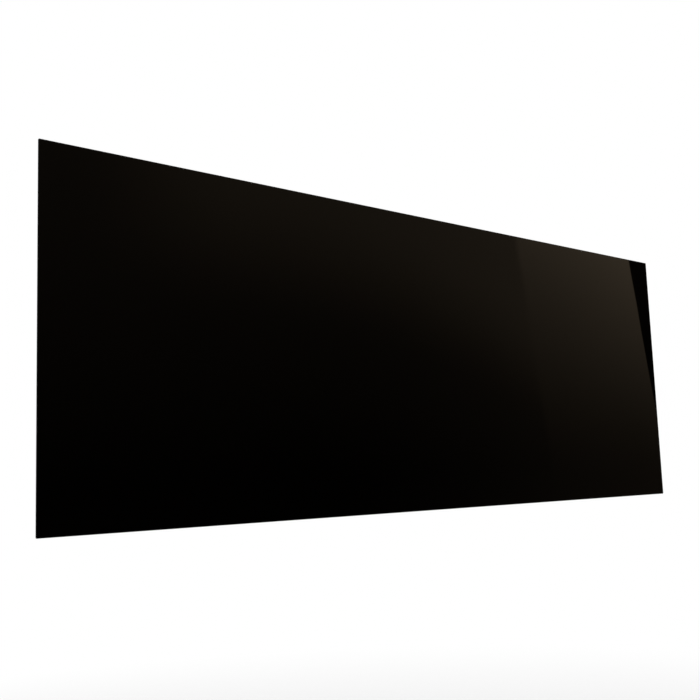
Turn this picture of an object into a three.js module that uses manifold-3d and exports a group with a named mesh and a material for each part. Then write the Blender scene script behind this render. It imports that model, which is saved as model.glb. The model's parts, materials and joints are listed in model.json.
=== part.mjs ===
// Wall-mounted infrared panel heater: a frameless glass-ceramic front bonded to a carrier frame, with a
// drawn and louvred rear housing, two hairpin elements in a double parabolic reflector, a terminal box and
// a bracket that lets the whole heater tilt.
// Millimetres. +X is the viewer's right, the glass faces -Y, +Z is up, and the wall is the plane y = 0.
// "Depth" is measured backwards from the front face of the housing's rim, and "inset" inwards from the
// edge of the glass.

import * as THREE from 'three';
import { mergeVertices } from 'three/addons/utils/BufferGeometryUtils.js';
import Module from 'manifold-3d';

const wasm = await Module();
wasm.setup();

// ---------------------------------------------------------------- driving dimensions

const seatGap = 0.1;            // between faces that rest on each other
const fitGap = 0.3;             // round a piece in its hole, and between pieces that move

const glassWidth = 838;
const glassHeight = 305;
const glassThickness = 5;
const glassCorner = 1.2;
const glassArris = 0.5;

const bondInset = 11;
const bondWidth = 14;
const bondThickness = 2;

const frameInset = 8;
const frameSheet = 1.5;
const frameLandWidth = 32;
const frameLipDepth = 13;

const housingSheet = 1.5;
const rimInset = 12;
const mouthInset = 26;          // where the rim turns into the wall
const shoulderInset = 32;
const shoulderDepth = 22;
const shoulderFall = 3;         // how much deeper the shoulder gets towards the middle
const plateauFoot = 66;
const plateauInset = 76;
const housingDepth = 44;
const rimCorner = 9;
const mouthCorner = 30;
const plateauCorner = 22;
const wallFillet = 5;
const plateauFillet = 7;
const filletStep = 2.5;         // a fillet has a facet for each of these in its radius

const louvreHeight = 9;
const louvreRise = 4.6;
const louvreWall = 1.2;
const louvrePitch = 20;
const bankGap = 22;             // between louvre banks, and from them to the bracket and the plateau's edge
const boxClear = 14;            // from the terminal box to the bank beside it

const troughDepth = 30;
const troughSteps = 12;         // facets across one trough
const reflectorSheet = 1;
const reflectorFlange = 9;
const flangeClear = 5.5;        // from the reflector's flange to the edge of the housing's mouth
const reflectorEndClear = 6;    // from the plateau's edge to the reflector's end

const elementRadius = 4.25;
const elementDepth = 11;
const legHalf = 14;             // half the distance between a hairpin's legs
const bendClear = 8;            // from a hairpin's bend to the reflector's left end
const pinRadius = 1.5;
const pinLength = 12;
const coldEnd = 14;             // how far the sheath passes the reflector's end plate
const flangeSheet = 2;
const beadRadius = 4.4;
const beadLength = 8;
const supportSheet = 1;
const supportSpan = 170;        // each pair of supports stands this far from the middle

const boardThickness = 6;
const cutoutRadius = 8;
const cutoutHeight = 10;
const cutoutFlange = 2;
const leadRadius = 1.5;

const boxWidth = 96;
const boxHeight = 74;
const boxDepth = 32;
const boxWall = 2.5;
const boxCorner = 9;
const bossRadius = 4.2;
const boxScrewRadius = 2;
const gasketSheet = 1;
const coverSheet = 2.5;
const blockLength = 44;
const blockWidth = 17;
const blockHeight = 15;
const studRadius = 2;

const glandThread = 8;
const glandBore = 5.6;
const glandAcross = 20;         // across the flats
const glandStep = 5;
const sealBore = 3.9;

const pivotStandOff = 62;       // wall to pivot axis
const housingStandOff = 20;     // pivot axis to the back of the housing
const tiltLimit = 40;           // degrees, face downward
const bracketHalf = 87;         // outer face of the wall bracket's ears
const bracketSheet = 3;
const bracketHeight = 112;
const noseRadius = 16;
const bendRadius = 6;
const slotRadius = 34;          // arc slot's centre line, about the pivot
const wallSlotLength = 18;
const wallSlotWidth = 8;
const yokeSheet = 3;
const yokeHeight = 86;
const frictionSheet = 1.2;
const frictionRadius = 13;
const pivotBolt = { radius: 4, across: 13, head: 5.5, nut: 6.5 };
const lockBolt = { radius: 3, across: 10, head: 4, nut: 5 };
const washerSheet = 1.6;
const yokeScrew = { radius: 2.5, across: 8, head: 3.5 };

// ---------------------------------------------------------------- places worked out from them

const halfWidth = glassWidth / 2;
const halfHeight = glassHeight / 2;

// y of a depth in the housing, with the pivot axis at y = 0
const rimFront = -housingStandOff - housingDepth;
const atDepth = (depth) => rimFront + depth;
const plateauBack = atDepth(housingDepth);
const plateauFront = plateauBack - housingSheet;
const frameBack = rimFront - seatGap;
const frameFront = frameBack - frameSheet;
const bondFront = frameFront - seatGap - bondThickness;
const glassBack = bondFront - seatGap;
const glassFront = glassBack - glassThickness;

const plateauHalfX = halfWidth - plateauInset - plateauFillet;
const plateauHalfZ = halfHeight - plateauInset - plateauFillet;
const bankStart = bracketHalf + pivotBolt.head + washerSheet + bankGap;
const bankEnd = plateauHalfX - bankGap;
const bankLength = (bankEnd - bankStart - bankGap) / 2;
const boxX = bankStart + boxWidth / 2;
const louvreBanks = [           // each from one x to another; the terminal box takes the place of a fourth
  [-bankEnd, -bankEnd + bankLength],
  [-bankStart - bankLength, -bankStart],
  [boxX + boxWidth / 2 + boxClear, bankEnd],
];

const reflectorHalf = halfWidth - plateauInset - reflectorEndClear;
const troughHalf = (halfHeight - mouthInset - flangeClear - reflectorFlange) / 2;
const troughEdge = 2 * troughHalf;
const troughSag = troughDepth / troughSteps ** 2;  // how far a facet's middle stands off the parabola
const endPlateX = reflectorHalf + seatGap;
const flangeX = endPlateX + reflectorSheet + seatGap;
const sheathEnd = endPlateX + reflectorSheet + coldEnd;
const pinEnd = sheathEnd + pinLength;
const elementY = atDepth(elementDepth);
const bendX = reflectorHalf - legHalf - elementRadius - bendClear;
const legs = [1, -1].flatMap((trough) => [1, -1].map((leg) => trough * troughHalf + leg * legHalf));
const troughBack = atDepth(troughDepth + reflectorSheet);
const boardFront = troughBack + fitGap;
const cutoutX = reflectorHalf - 3 * cutoutRadius;
const leadHole = 4 * leadRadius;
const laneZ = 1.3 * leadRadius;  // the main leads run side by side, this far above and below the middle
const channelY = atDepth(troughDepth / 2);

const earInner = bracketHalf - bracketSheet;
const yokeHalf = earInner - frictionSheet - 2 * fitGap;
const yokeInner = yokeHalf - yokeSheet;
const tilt = THREE.MathUtils.degToRad(tiltLimit);
const lockAngle = -tilt / 2;    // the lock bolt's place at rest, about the pivot
const slotHalfWidth = lockBolt.radius + fitGap;

// ---------------------------------------------------------------- finishes

const finish = (color, roughness, metalness) => new THREE.MeshStandardMaterial({ color, roughness, metalness });
const blackGlass = finish(0x0b0908, 0.06, 0);
const silicone = finish(0x1b1a19, 0.8, 0);
const blackPowder = finish(0x1a1a1b, 0.55, 0.3);
const polished = finish(0xd9dadb, 0.15, 1);
const sheathMetal = finish(0x4c4640, 0.5, 0.9);
const ceramic = finish(0xe9e4d8, 0.5, 0);
const fibre = finish(0xe6dfcf, 0.95, 0);
const steel = finish(0x9c9fa1, 0.35, 1);
const brass = finish(0xb8924a, 0.35, 1);
const rubber = finish(0x161616, 0.85, 0);
const redLead = finish(0x9c3a2c, 0.6, 0);
const greyLead = finish(0x8b8b87, 0.6, 0);
const greenLead = finish(0x5f7d2e, 0.6, 0);
const polyamide = finish(0x202123, 0.5, 0);

// ---------------------------------------------------------------- geometry helpers

// A closed three.js geometry as a solid, turned the right way out if its faces point inwards.
function solid(geometry) {
  const bare = geometry.index ? geometry.clone() : geometry;
  bare.deleteAttribute('normal');
  bare.deleteAttribute('uv');
  const merged = mergeVertices(bare, 1e-4);
  const position = merged.attributes.position.array;
  const index = Uint32Array.from(merged.index.array);
  const a = new THREE.Vector3();
  const b = new THREE.Vector3();
  const c = new THREE.Vector3();
  let volume = 0;
  for (let i = 0; i < index.length; i += 3) {
    a.fromArray(position, 3 * index[i]);
    b.fromArray(position, 3 * index[i + 1]);
    c.fromArray(position, 3 * index[i + 2]);
    volume += a.dot(b.cross(c));
  }
  if (volume < 0) {
    for (let i = 0; i < index.length; i += 3) {
      [index[i + 1], index[i + 2]] = [index[i + 2], index[i + 1]];
    }
  }
  return new wasm.Manifold(new wasm.Mesh({
    numProp: 3,
    vertProperties: Float32Array.from(position),
    triVerts: index,
  }));
}

function geometryOf(body) {
  const mesh = body.getMesh();
  const geometry = new THREE.BufferGeometry();
  geometry.setAttribute('position', new THREE.BufferAttribute(Float32Array.from(mesh.vertProperties), 3));
  geometry.setIndex(new THREE.BufferAttribute(Uint32Array.from(mesh.triVerts), 1));
  geometry.computeVertexNormals();
  return geometry;
}

const cut = (body, tools) => tools.reduce((rest, tool) => rest.subtract(tool), body);
const join = (bodies) => bodies.reduce((whole, body) => whole.add(body));

// A skin over a row of rings with as many points each: capped at both ends, or joined end to start.
function skin(rings, joined = false) {
  const count = rings[0].length;
  const points = rings.flat().flatMap((p) => [p.x, p.y, p.z]);
  const faces = [];
  const bands = joined ? rings.length : rings.length - 1;
  for (let r = 0; r < bands; r++) {
    const here = r * count;
    const next = ((r + 1) % rings.length) * count;
    for (let i = 0; i < count; i++) {
      const j = (i + 1) % count;
      faces.push(here + i, here + j, next + j, here + i, next + j, next + i);
    }
  }
  if (!joined) {
    const last = (rings.length - 1) * count;
    for (let i = 1; i < count - 1; i++) {
      faces.push(0, i + 1, i, last, last + i, last + i + 1);
    }
  }
  const geometry = new THREE.BufferGeometry();
  geometry.setAttribute('position', new THREE.Float32BufferAttribute(points, 3));
  geometry.setIndex(faces);
  return solid(geometry);
}

// A rounded rectangle in the plane of a given y.
function roundedRing(halfX, halfZ, corner, y, steps = 4) {
  const ring = [];
  const corners = [[1, 1], [-1, 1], [-1, -1], [1, -1]];
  corners.forEach(([sideX, sideZ], quarter) => {
    for (let i = 0; i <= steps; i++) {
      const angle = (quarter + i / steps) * Math.PI / 2;
      ring.push(new THREE.Vector3(
        sideX * (halfX - corner) + corner * Math.cos(angle),
        y,
        sideZ * (halfZ - corner) + corner * Math.sin(angle),
      ));
    }
  });
  return ring;
}

const insetRing = (inset, corner, y, steps) =>
  roundedRing(halfWidth - inset, halfHeight - inset, corner, y, steps);

// A polyline with its inner corners rounded; radii has one value for each inner corner.
function filletPath(corners, radii) {
  const path = [corners[0].clone()];
  for (let i = 1; i < corners.length - 1; i++) {
    const corner = corners[i];
    const back = corners[i - 1].clone().sub(corner).normalize();
    const ahead = corners[i + 1].clone().sub(corner).normalize();
    const half = Math.acos(THREE.MathUtils.clamp(back.dot(ahead), -1, 1)) / 2;
    const radius = radii[i - 1];
    const reach = radius / Math.tan(half);
    const centre = back.clone().add(ahead).setLength(radius / Math.sin(half)).add(corner);
    const from = back.multiplyScalar(reach).add(corner).sub(centre);
    const to = ahead.multiplyScalar(reach).add(corner).sub(centre);
    const sweep = Math.atan2(from.cross(to), from.dot(to));
    const steps = Math.ceil(radius / filletStep);
    for (let k = 0; k <= steps; k++) {
      path.push(from.clone().rotateAround(new THREE.Vector2(), sweep * k / steps).add(centre));
    }
  }
  path.push(corners[corners.length - 1].clone());
  return path;
}

// The same path moved sideways by a distance, to the right of its direction where that is positive.
function offsetPath(path, distance) {
  return path.map((point, i) => {
    const before = path[Math.max(i - 1, 0)];
    const after = path[Math.min(i + 1, path.length - 1)];
    const into = (i > 0 ? point.clone().sub(before) : after.clone().sub(point)).normalize();
    const outOf = (i < path.length - 1 ? after.clone().sub(point) : point.clone().sub(before)).normalize();
    const mean = into.clone().add(outOf).normalize();
    const stretch = distance / Math.max(mean.dot(outOf), 0.3);
    return new THREE.Vector2(point.x + mean.y * stretch, point.y - mean.x * stretch);
  });
}

// A bent strip of sheet: the path's own thickness laid to its right.
const sheetShape = (path, thickness) => new THREE.Shape([...path, ...offsetPath(path, thickness).reverse()]);

// A shape drawn in (x, y) and raised along z.
function raised(shape, height, curveSegments = 3) {
  return solid(new THREE.ExtrudeGeometry(shape, { depth: height, bevelEnabled: false, curveSegments }));
}

// A shape drawn in (depth direction y, height z) and carried along x, centred on the given x.
function alongX(shape, length, x = 0, curveSegments = 3) {
  return raised(shape, length, curveSegments).transform([
    0, 1, 0, 0,
    0, 0, 1, 0,
    1, 0, 0, 0,
    x - length / 2, 0, 0, 1,
  ]);
}

// A shape drawn in (x, z) and carried backwards along y from the given y.
function alongY(shape, length, y, curveSegments = 3) {
  return raised(shape, length, curveSegments).transform([
    1, 0, 0, 0,
    0, 0, 1, 0,
    0, -1, 0, 0,
    0, y + length, 0, 1,
  ]);
}

function roundedShape(width, height, corner, x = 0, y = 0) {
  const shape = new THREE.Shape();
  const right = x + width / 2;
  const top = y + height / 2;
  const left = x - width / 2;
  const bottom = y - height / 2;
  shape.moveTo(left + corner, bottom);
  shape.absarc(right - corner, bottom + corner, corner, -Math.PI / 2, 0);
  shape.absarc(right - corner, top - corner, corner, 0, Math.PI / 2);
  shape.absarc(left + corner, top - corner, corner, Math.PI / 2, Math.PI);
  shape.absarc(left + corner, bottom + corner, corner, Math.PI, 1.5 * Math.PI);
  return shape;
}

// A cylinder or prism along X, Y or Z, from one place on that axis to another.
function rod(axis, from, to, radius, [u, v] = [0, 0], sides = 16) {
  const turned = { x: [0, 0, -Math.PI / 2], y: [0, 0, 0], z: [Math.PI / 2, 0, 0] }[axis];
  const middle = (from + to) / 2;
  const place = { x: [middle, u, v], y: [u, middle, v], z: [u, v, middle] }[axis];
  const geometry = new THREE.CylinderGeometry(radius, radius, Math.abs(to - from), sides);
  const turn = new THREE.Quaternion().setFromEuler(new THREE.Euler(...turned));
  return solid(geometry.applyMatrix4(new THREE.Matrix4().compose(
    new THREE.Vector3(...place),
    turn,
    new THREE.Vector3(1, 1, 1),
  )));
}

const acrossFlats = (across) => across / Math.sqrt(3);

// The smallest outline round a set of circles, as a cut plate's edge has it.
function outlineRound(circles) {
  const stepsFor = (radius) => 4 * Math.ceil(2 + radius / 4);
  const points = circles.flatMap(([x, y, radius]) => Array.from({ length: stepsFor(radius) }, (_, i) => {
    const angle = (2 * Math.PI * i) / stepsFor(radius);
    return new THREE.Vector2(x + radius * Math.cos(angle), y + radius * Math.sin(angle));
  })).sort((p, q) => p.x - q.x || p.y - q.y);
  const chain = (row) => {
    const hull = [];
    for (const p of row) {
      while (hull.length > 1) {
        const [q, r] = hull.slice(-2);
        if (r.clone().sub(q).cross(p.clone().sub(q)) > 1e-6) {
          break;
        }
        hull.pop();
      }
      hull.push(p);
    }
    return hull.slice(0, -1);
  };
  return new THREE.Shape([...chain(points), ...chain([...points].reverse())]);
}

function mesh(name, body, material) {
  const part = new THREE.Mesh(geometryOf(body), material);
  part.name = name;
  return part;
}

// ---------------------------------------------------------------- front: glass, bond and carrier frame

function glassPanel() {
  const ring = (inset, y) => insetRing(inset, glassCorner - inset / 2, y);
  return mesh('glass_panel', skin([
    ring(glassArris, glassFront),
    ring(0, glassFront + glassArris),
    ring(0, glassBack - glassArris),
    ring(glassArris, glassBack),
  ]), blackGlass);
}

function glassBond() {
  const inner = bondInset + bondWidth;
  const round = 0.5;
  const middle = bondFront + bondThickness / 2;
  return mesh('glass_bond', skin([
    insetRing(bondInset + round, rimCorner, bondFront),
    insetRing(inner - round, rimCorner, bondFront),
    insetRing(inner, rimCorner, middle),
    insetRing(inner - round, rimCorner, bondFront + bondThickness),
    insetRing(bondInset + round, rimCorner, bondFront + bondThickness),
    insetRing(bondInset, rimCorner, middle),
  ], true), silicone);
}

// Its lip folds back round the housing's rim.
function carrierFrame() {
  const lip = frameInset + frameSheet;
  const land = frameInset + frameLandWidth;
  return mesh('carrier_frame', skin([
    insetRing(frameInset, rimCorner, frameFront + frameSheet / 2),
    insetRing(frameInset + frameSheet / 2, rimCorner, frameFront),
    insetRing(land, plateauCorner, frameFront),
    insetRing(land, plateauCorner, frameBack),
    insetRing(lip, rimCorner - frameSheet, frameBack),
    insetRing(lip, rimCorner - frameSheet, frameFront + frameLipDepth),
    insetRing(frameInset, rimCorner, frameFront + frameLipDepth),
  ], true), blackPowder);
}

// ---------------------------------------------------------------- rear housing

// The corner radius of the drawn pan at an inset.
function panCorner(inset) {
  const share = (from, to) => THREE.MathUtils.clamp((inset - from) / (to - from), 0, 1);
  const open = THREE.MathUtils.lerp(rimCorner - frameSheet, mouthCorner, share(rimInset, mouthInset));
  return THREE.MathUtils.lerp(open, plateauCorner, share(mouthInset, plateauInset));
}

// Places on the back face of the sheet, as (inset, depth).
function panPath() {
  return filletPath([
    new THREE.Vector2(rimInset, housingSheet),
    new THREE.Vector2(mouthInset, housingSheet),
    new THREE.Vector2(shoulderInset, shoulderDepth),
    new THREE.Vector2(plateauFoot, shoulderDepth + shoulderFall),
    new THREE.Vector2(plateauInset, housingDepth),
    new THREE.Vector2(plateauInset + 2 * plateauFillet, housingDepth),
  ], [wallFillet / 2, wallFillet, wallFillet, plateauFillet]);
}

// A louvre's hood, or the space under it, as a skin whose height grows in from both ends.
function hood(from, to, topZ, height, rise, sink) {
  const stations = [[0, 0.2], [0.06, 1], [0.94, 1], [1, 0.2]];
  const arc = 3;
  return skin(stations.map(([share, scale]) => {
    const x = THREE.MathUtils.lerp(from, to, share);
    const ring = [];
    for (let i = 0; i <= arc; i++) {
      const over = rise * scale * Math.sin((Math.PI / 2) * (i / arc));
      ring.push(new THREE.Vector3(x, plateauBack + over, topZ - (height * i) / arc));
    }
    ring.push(new THREE.Vector3(x, plateauBack - sink, topZ - height));
    ring.push(new THREE.Vector3(x, plateauBack - sink, topZ));
    return ring;
  }));
}

// The heights of the louvres' upper edges.
function louvreRows() {
  const reach = plateauHalfZ - louvreHeight;
  const rows = Math.floor((2 * reach) / louvrePitch) + 1;
  return Array.from({ length: rows }, (_, i) => (i - (rows - 1) / 2) * louvrePitch + louvreHeight / 2);
}

const yokeScrewPlaces = [1, -1].flatMap((sideX) => [1, -1].map((sideZ) => [
  sideX * (yokeInner - 2 * bendRadius - yokeScrew.across / 2),
  sideZ * (yokeHeight / 2 - 1.5 * yokeScrew.across),
]));

function rearHousing() {
  const back = panPath();
  const front = offsetPath(back, housingSheet);
  const rings = [...back.reverse(), ...front].map(({ x, y }) => insetRing(x, panCorner(x), atDepth(y)));
  let pan = skin(rings);
  for (const [from, to] of louvreBanks) {
    for (const topZ of louvreRows()) {
      pan = pan.add(hood(from, to, topZ, louvreHeight, louvreRise, housingSheet / 2)).subtract(hood(
        from + louvreWall,
        to - louvreWall,
        topZ - louvreWall,
        louvreHeight - louvreWall / 2,
        louvreRise - louvreWall,
        2 * housingSheet,
      ));
    }
  }
  const holes = yokeScrewPlaces.map((place) =>
    rod('y', plateauFront - 1, plateauBack + 1, yokeScrew.radius + fitGap, place, 12));
  holes.push(rod('y', plateauFront - 1, plateauBack + 1, leadHole + fitGap, [boxX, 0]));
  return mesh('rear_housing', cut(pan, holes), blackPowder);
}

// ---------------------------------------------------------------- reflector, elements and insulation

// The troughs' depth at a height z; each trough is a parabola, and they meet in a ridge at z = 0.
const troughAt = (z) => troughDepth * (1 - ((Math.abs(z) - troughHalf) / troughHalf) ** 2);

// The front face of the reflector sheet as (y, z), from the bottom flange to the top one.
function troughPath(flange, from = 0) {
  const path = flange ? [new THREE.Vector2(atDepth(from), -troughEdge - reflectorFlange)] : [];
  for (let i = 0; i <= 2 * troughSteps; i++) {
    const z = troughEdge * (i / troughSteps - 1);
    path.push(new THREE.Vector2(atDepth(Math.max(troughAt(z), from)), z));
  }
  if (flange) {
    path.push(new THREE.Vector2(atDepth(from), troughEdge + reflectorFlange));
  }
  return path;
}

function reflector() {
  const shape = sheetShape(troughPath(true, seatGap), reflectorSheet);
  return mesh('reflector', alongX(shape, 2 * reflectorHalf), polished);
}

// An end plate closes both troughs; the right one lets the elements' legs through.
function reflectorEnd(side) {
  const shape = new THREE.Shape([
    ...offsetPath(troughPath(false, reflectorSheet), reflectorSheet),
    new THREE.Vector2(atDepth(seatGap), troughEdge),
    new THREE.Vector2(atDepth(seatGap), -troughEdge),
  ]);
  const plate = alongX(shape, reflectorSheet, side * (endPlateX + reflectorSheet / 2));
  const holes = side > 0 ? legHoles(endPlateX - 1, flangeX) : [];
  return mesh(side > 0 ? 'reflector_end_right' : 'reflector_end_left', cut(plate, holes), polished);
}

const legHoles = (from, to, places = legs) =>
  places.map((z) => rod('x', from, to, elementRadius + fitGap, [elementY, z], 12));

const troughLegs = (side) => legs.filter((z) => Math.sign(z) === side);

// A ring of points round a place on the hairpin, square to its run in the (x, z) plane.
function sheathRing(x, z, heading, radius) {
  const sides = 10;
  return Array.from({ length: sides }, (_, i) => {
    const angle = (2 * Math.PI * i) / sides;
    const across = radius * Math.cos(angle);
    return new THREE.Vector3(
      x - across * Math.sin(heading),
      elementY + radius * Math.sin(angle),
      z + across * Math.cos(heading),
    );
  });
}

// A sheathed hairpin: contact pin, straight leg, half-round bend, straight leg, contact pin.
function element(name, side) {
  const centre = side * troughHalf;
  const steps = 8;
  const rings = [
    sheathRing(pinEnd, centre + legHalf, Math.PI, pinRadius),
    sheathRing(sheathEnd, centre + legHalf, Math.PI, pinRadius),
    sheathRing(sheathEnd, centre + legHalf, Math.PI, elementRadius),
  ];
  for (let i = 0; i <= steps; i++) {
    const turn = (Math.PI * i) / steps;
    const x = -bendX - legHalf * Math.sin(turn);
    rings.push(sheathRing(x, centre + legHalf * Math.cos(turn), Math.PI + turn, elementRadius));
  }
  rings.push(
    sheathRing(sheathEnd, centre - legHalf, 2 * Math.PI, elementRadius),
    sheathRing(sheathEnd, centre - legHalf, 2 * Math.PI, pinRadius),
    sheathRing(pinEnd, centre - legHalf, 2 * Math.PI, pinRadius),
  );
  return mesh(name, skin(rings), sheathMetal);
}

function elementFlange(name, side) {
  const width = 2 * (elementRadius + flangeSheet);
  const height = 2 * legHalf + 4 * elementRadius;
  const shape = roundedShape(width, height, elementRadius, elementY, side * troughHalf);
  const plate = alongX(shape, flangeSheet, flangeX + flangeSheet / 2);
  return mesh(name, cut(plate, legHoles(flangeX - 1, flangeX + flangeSheet + 1, troughLegs(side))), steel);
}

function terminalBead(name, z) {
  const from = sheathEnd + seatGap;
  const bead = rod('x', from, from + beadLength, beadRadius, [elementY, z], 12);
  const bore = rod('x', from - 1, from + beadLength + 1, pinRadius + fitGap, [elementY, z], 10);
  return mesh(name, bead.subtract(bore), ceramic);
}

// A strip across one trough that carries both legs, its ends cut to the parabola.
function elementSupport(name, sideX, side) {
  const depths = [elementDepth - 1.5 * elementRadius, elementDepth, elementDepth + 1.6 * elementRadius];
  const reach = (depth) => troughHalf * Math.sqrt(1 - (depth + troughSag) / troughDepth) - fitGap;
  const edge = (sign) => depths.map((depth) =>
    new THREE.Vector2(atDepth(depth), side * troughHalf + sign * reach(depth)));
  const plate = alongX(new THREE.Shape([...edge(-1), ...edge(1).reverse()]), supportSheet, sideX * supportSpan);
  const holes = legHoles(sideX * supportSpan - 2 * supportSheet, sideX * supportSpan + 2 * supportSheet,
    troughLegs(side));
  return mesh(name, cut(plate, holes), steel);
}

function insulationBoard() {
  const width = 2 * (reflectorHalf - reflectorEndClear);
  const shape = roundedShape(width, 2 * plateauHalfZ - 2 * housingSheet, plateauCorner / 2);
  const holeEdge = cutoutRadius + cutoutFlange + 2;
  const holes = [
    rod('y', boardFront - 1, boardFront + boardThickness + 1, leadHole + 2, [boxX, 0]),
    rod('y', boardFront - 1, boardFront + boardThickness + 1, holeEdge, [cutoutX, 0]),
  ];
  return mesh('insulation_board', cut(alongY(shape, boardThickness, boardFront), holes), fibre);
}

// A snap-action thermostat whose flange rests on the inside of the plateau.
const tabX = cutoutRadius / 2;
const tabTip = plateauFront - seatGap - cutoutHeight - 2 * pinRadius;

function thermalCutout() {
  const back = plateauFront - seatGap;
  return mesh('thermal_cutout', join([
    rod('y', back - cutoutFlange, back, cutoutRadius + cutoutFlange, [cutoutX, 0], 20),
    rod('y', back - cutoutHeight, back, cutoutRadius, [cutoutX, 0], 20),
    ...[-tabX, tabX].map((x) => rod('y', tabTip, back, pinRadius, [cutoutX + x, laneZ], 8)),
  ]), ceramic);
}

// ---------------------------------------------------------------- terminal box and gland

const boxFront = plateauBack + seatGap;
const boxRim = boxFront + boxDepth;
const boxRing = (inset, y) =>
  roundedRing(boxWidth / 2 - inset, boxHeight / 2 - inset, Math.max(boxCorner - inset, 2), y, 3)
    .map((p) => p.add(new THREE.Vector3(boxX, 0, 0)));
const boxScrewPlaces = [1, -1].flatMap((sideX) => [1, -1].map((sideZ) => [
  boxX + sideX * (boxWidth / 2 - boxWall - bossRadius + 1),
  sideZ * (boxHeight / 2 - boxWall - bossRadius + 1),
]));
const bossDepth = boxDepth * 0.6;
const glandY = boxFront + boxDepth / 2;
const boxBottom = -boxHeight / 2;

function terminalBox() {
  const edge = 2;
  const shell = skin([
    boxRing(edge, boxFront),
    boxRing(0, boxFront + edge),
    boxRing(0, boxRim),
    boxRing(boxWall, boxRim),
    boxRing(boxWall, boxFront + boxWall),
  ]);
  const bosses = boxScrewPlaces.map((place) => rod('y', boxFront + boxWall / 2, boxRim, bossRadius, place, 10));
  const holes = boxScrewPlaces.map((place) =>
    rod('y', boxRim - bossDepth, boxRim + 1, boxScrewRadius + fitGap, place, 8));
  holes.push(rod('y', boxFront - 1, boxFront + boxWall + 1, leadHole + fitGap, [boxX, 0]));
  holes.push(rod('z', boxBottom - 1, boxBottom + boxWall + 1, glandThread + fitGap, [boxX, glandY], 20));
  return mesh('terminal_box', cut(join([shell, ...bosses]), holes), blackPowder);
}

function boxGasket() {
  const width = boxWall + 0.5;
  const [front, back] = [boxRim + seatGap, boxRim + seatGap + gasketSheet];
  const ring = skin([boxRing(0, front), boxRing(0, back), boxRing(width, back), boxRing(width, front)], true);
  const pads = boxScrewPlaces.map((place) => rod('y', front, back, bossRadius, place, 10));
  const holes = boxScrewPlaces.map((place) => rod('y', front - 1, back + 1, boxScrewRadius + fitGap, place, 8));
  return mesh('box_gasket', cut(join([ring, ...pads]), holes), rubber);
}

const coverFront = boxRim + gasketSheet + 2 * seatGap;
const coverBack = coverFront + coverSheet;

function boxCover() {
  const edge = 1.2;
  const plate = skin([
    boxRing(0, coverFront),
    boxRing(0, coverBack - edge),
    boxRing(edge, coverBack),
  ]);
  const holes = boxScrewPlaces.map((place) =>
    rod('y', coverFront - 1, coverBack + 1, boxScrewRadius + fitGap, place, 8));
  return mesh('box_cover', cut(plate, holes), blackPowder);
}

// A pan-head screw as a revolved profile, its shank running forwards from under the head.
function coverScrew(name, [x, z]) {
  const shank = coverBack + seatGap - (boxRim - 0.7 * bossDepth);
  const head = 1.9 * boxScrewRadius;
  const rise = 1.2 * boxScrewRadius;
  const profile = [
    [0, -shank],
    [boxScrewRadius, -shank],
    [boxScrewRadius, 0],
    [head, 0],
    [head, rise / 2],
    [head * 0.75, rise],
    [0, rise],
  ].map(([r, y]) => new THREE.Vector2(r, y));
  const body = solid(new THREE.LatheGeometry(profile, 10)).translate([x, coverBack + seatGap, z]);
  return mesh(name, body, steel);
}

function terminalBlock() {
  const front = boxFront + boxWall + seatGap;
  const middle = blockTop - blockWidth / 2;
  const shape = roundedShape(blockLength, blockWidth, 1.5, boxX, middle);
  const wells = [-1, 0, 1].map((place) => rod(
    'y',
    front + blockHeight / 2,
    front + blockHeight + 1,
    blockWidth / 5,
    [boxX + place * terminalPitch, middle],
    10,
  ));
  return mesh('terminal_block', cut(alongY(shape, blockHeight, front, 1), wells), ceramic);
}

const studPlace = () => [boxX - boxWidth / 2 + boxWall + 4 * studRadius, boxBottom + boxWall + 6 * studRadius];

function earthStud() {
  const from = boxFront + boxWall + seatGap;
  return mesh('earth_stud', join([
    rod('y', from, from + 9 * studRadius, studRadius, studPlace(), 12),
    rod('y', from, from + 0.8 * studRadius, 2 * studRadius, studPlace(), 12),
  ]), brass);
}

function earthNut() {
  const from = boxFront + boxWall + seatGap + 3 * studRadius;
  const bore = rod('y', from - 1, from + 2 * studRadius + 1, studRadius + fitGap, studPlace(), 12);
  const hex = rod('y', from, from + 1.6 * studRadius, acrossFlats(3.5 * studRadius), studPlace(), 6);
  return mesh('earth_nut', hex.subtract(bore), brass);
}

// The gland's pieces stand on the vertical axis (boxX, glandY) and are named by the heights that they fill.
const glandRod = (from, to, radius, sides) => rod('z', from, to, radius, [boxX, glandY], sides);
const glandTop = boxBottom - seatGap;
const glandShoulder = glandTop - glandStep;
const glandTail = glandShoulder - 2 * glandStep;

function glandBody() {
  const inside = boxBottom + boxWall + 1.6 * glandStep;
  return mesh('gland_body', cut(join([
    glandRod(glandShoulder, glandTop, acrossFlats(glandAcross), 6),
    glandRod(glandShoulder, inside, glandThread, 20),
    glandRod(glandTail, glandShoulder, glandThread, 20),
  ]), [
    glandRod(glandTail - 1, inside + 1, glandBore, 16),
    glandRod(glandTail - 1, glandShoulder + glandStep / 4, glandBore + 1, 16),
  ]), polyamide);
}

function glandLocknut() {
  const from = boxBottom + boxWall + seatGap;
  return mesh('gland_locknut', glandRod(from, from + glandStep * 0.8, acrossFlats(glandAcross), 6)
    .subtract(glandRod(from - 1, from + glandStep, glandThread + fitGap, 20)), polyamide);
}

function glandSeal() {
  const top = glandShoulder + glandStep / 4 - seatGap;
  return mesh('gland_seal', glandRod(glandTail, top, glandBore + 1 - seatGap, 16)
    .subtract(glandRod(glandTail - 1, top + 1, sealBore, 12)), rubber);
}

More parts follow.
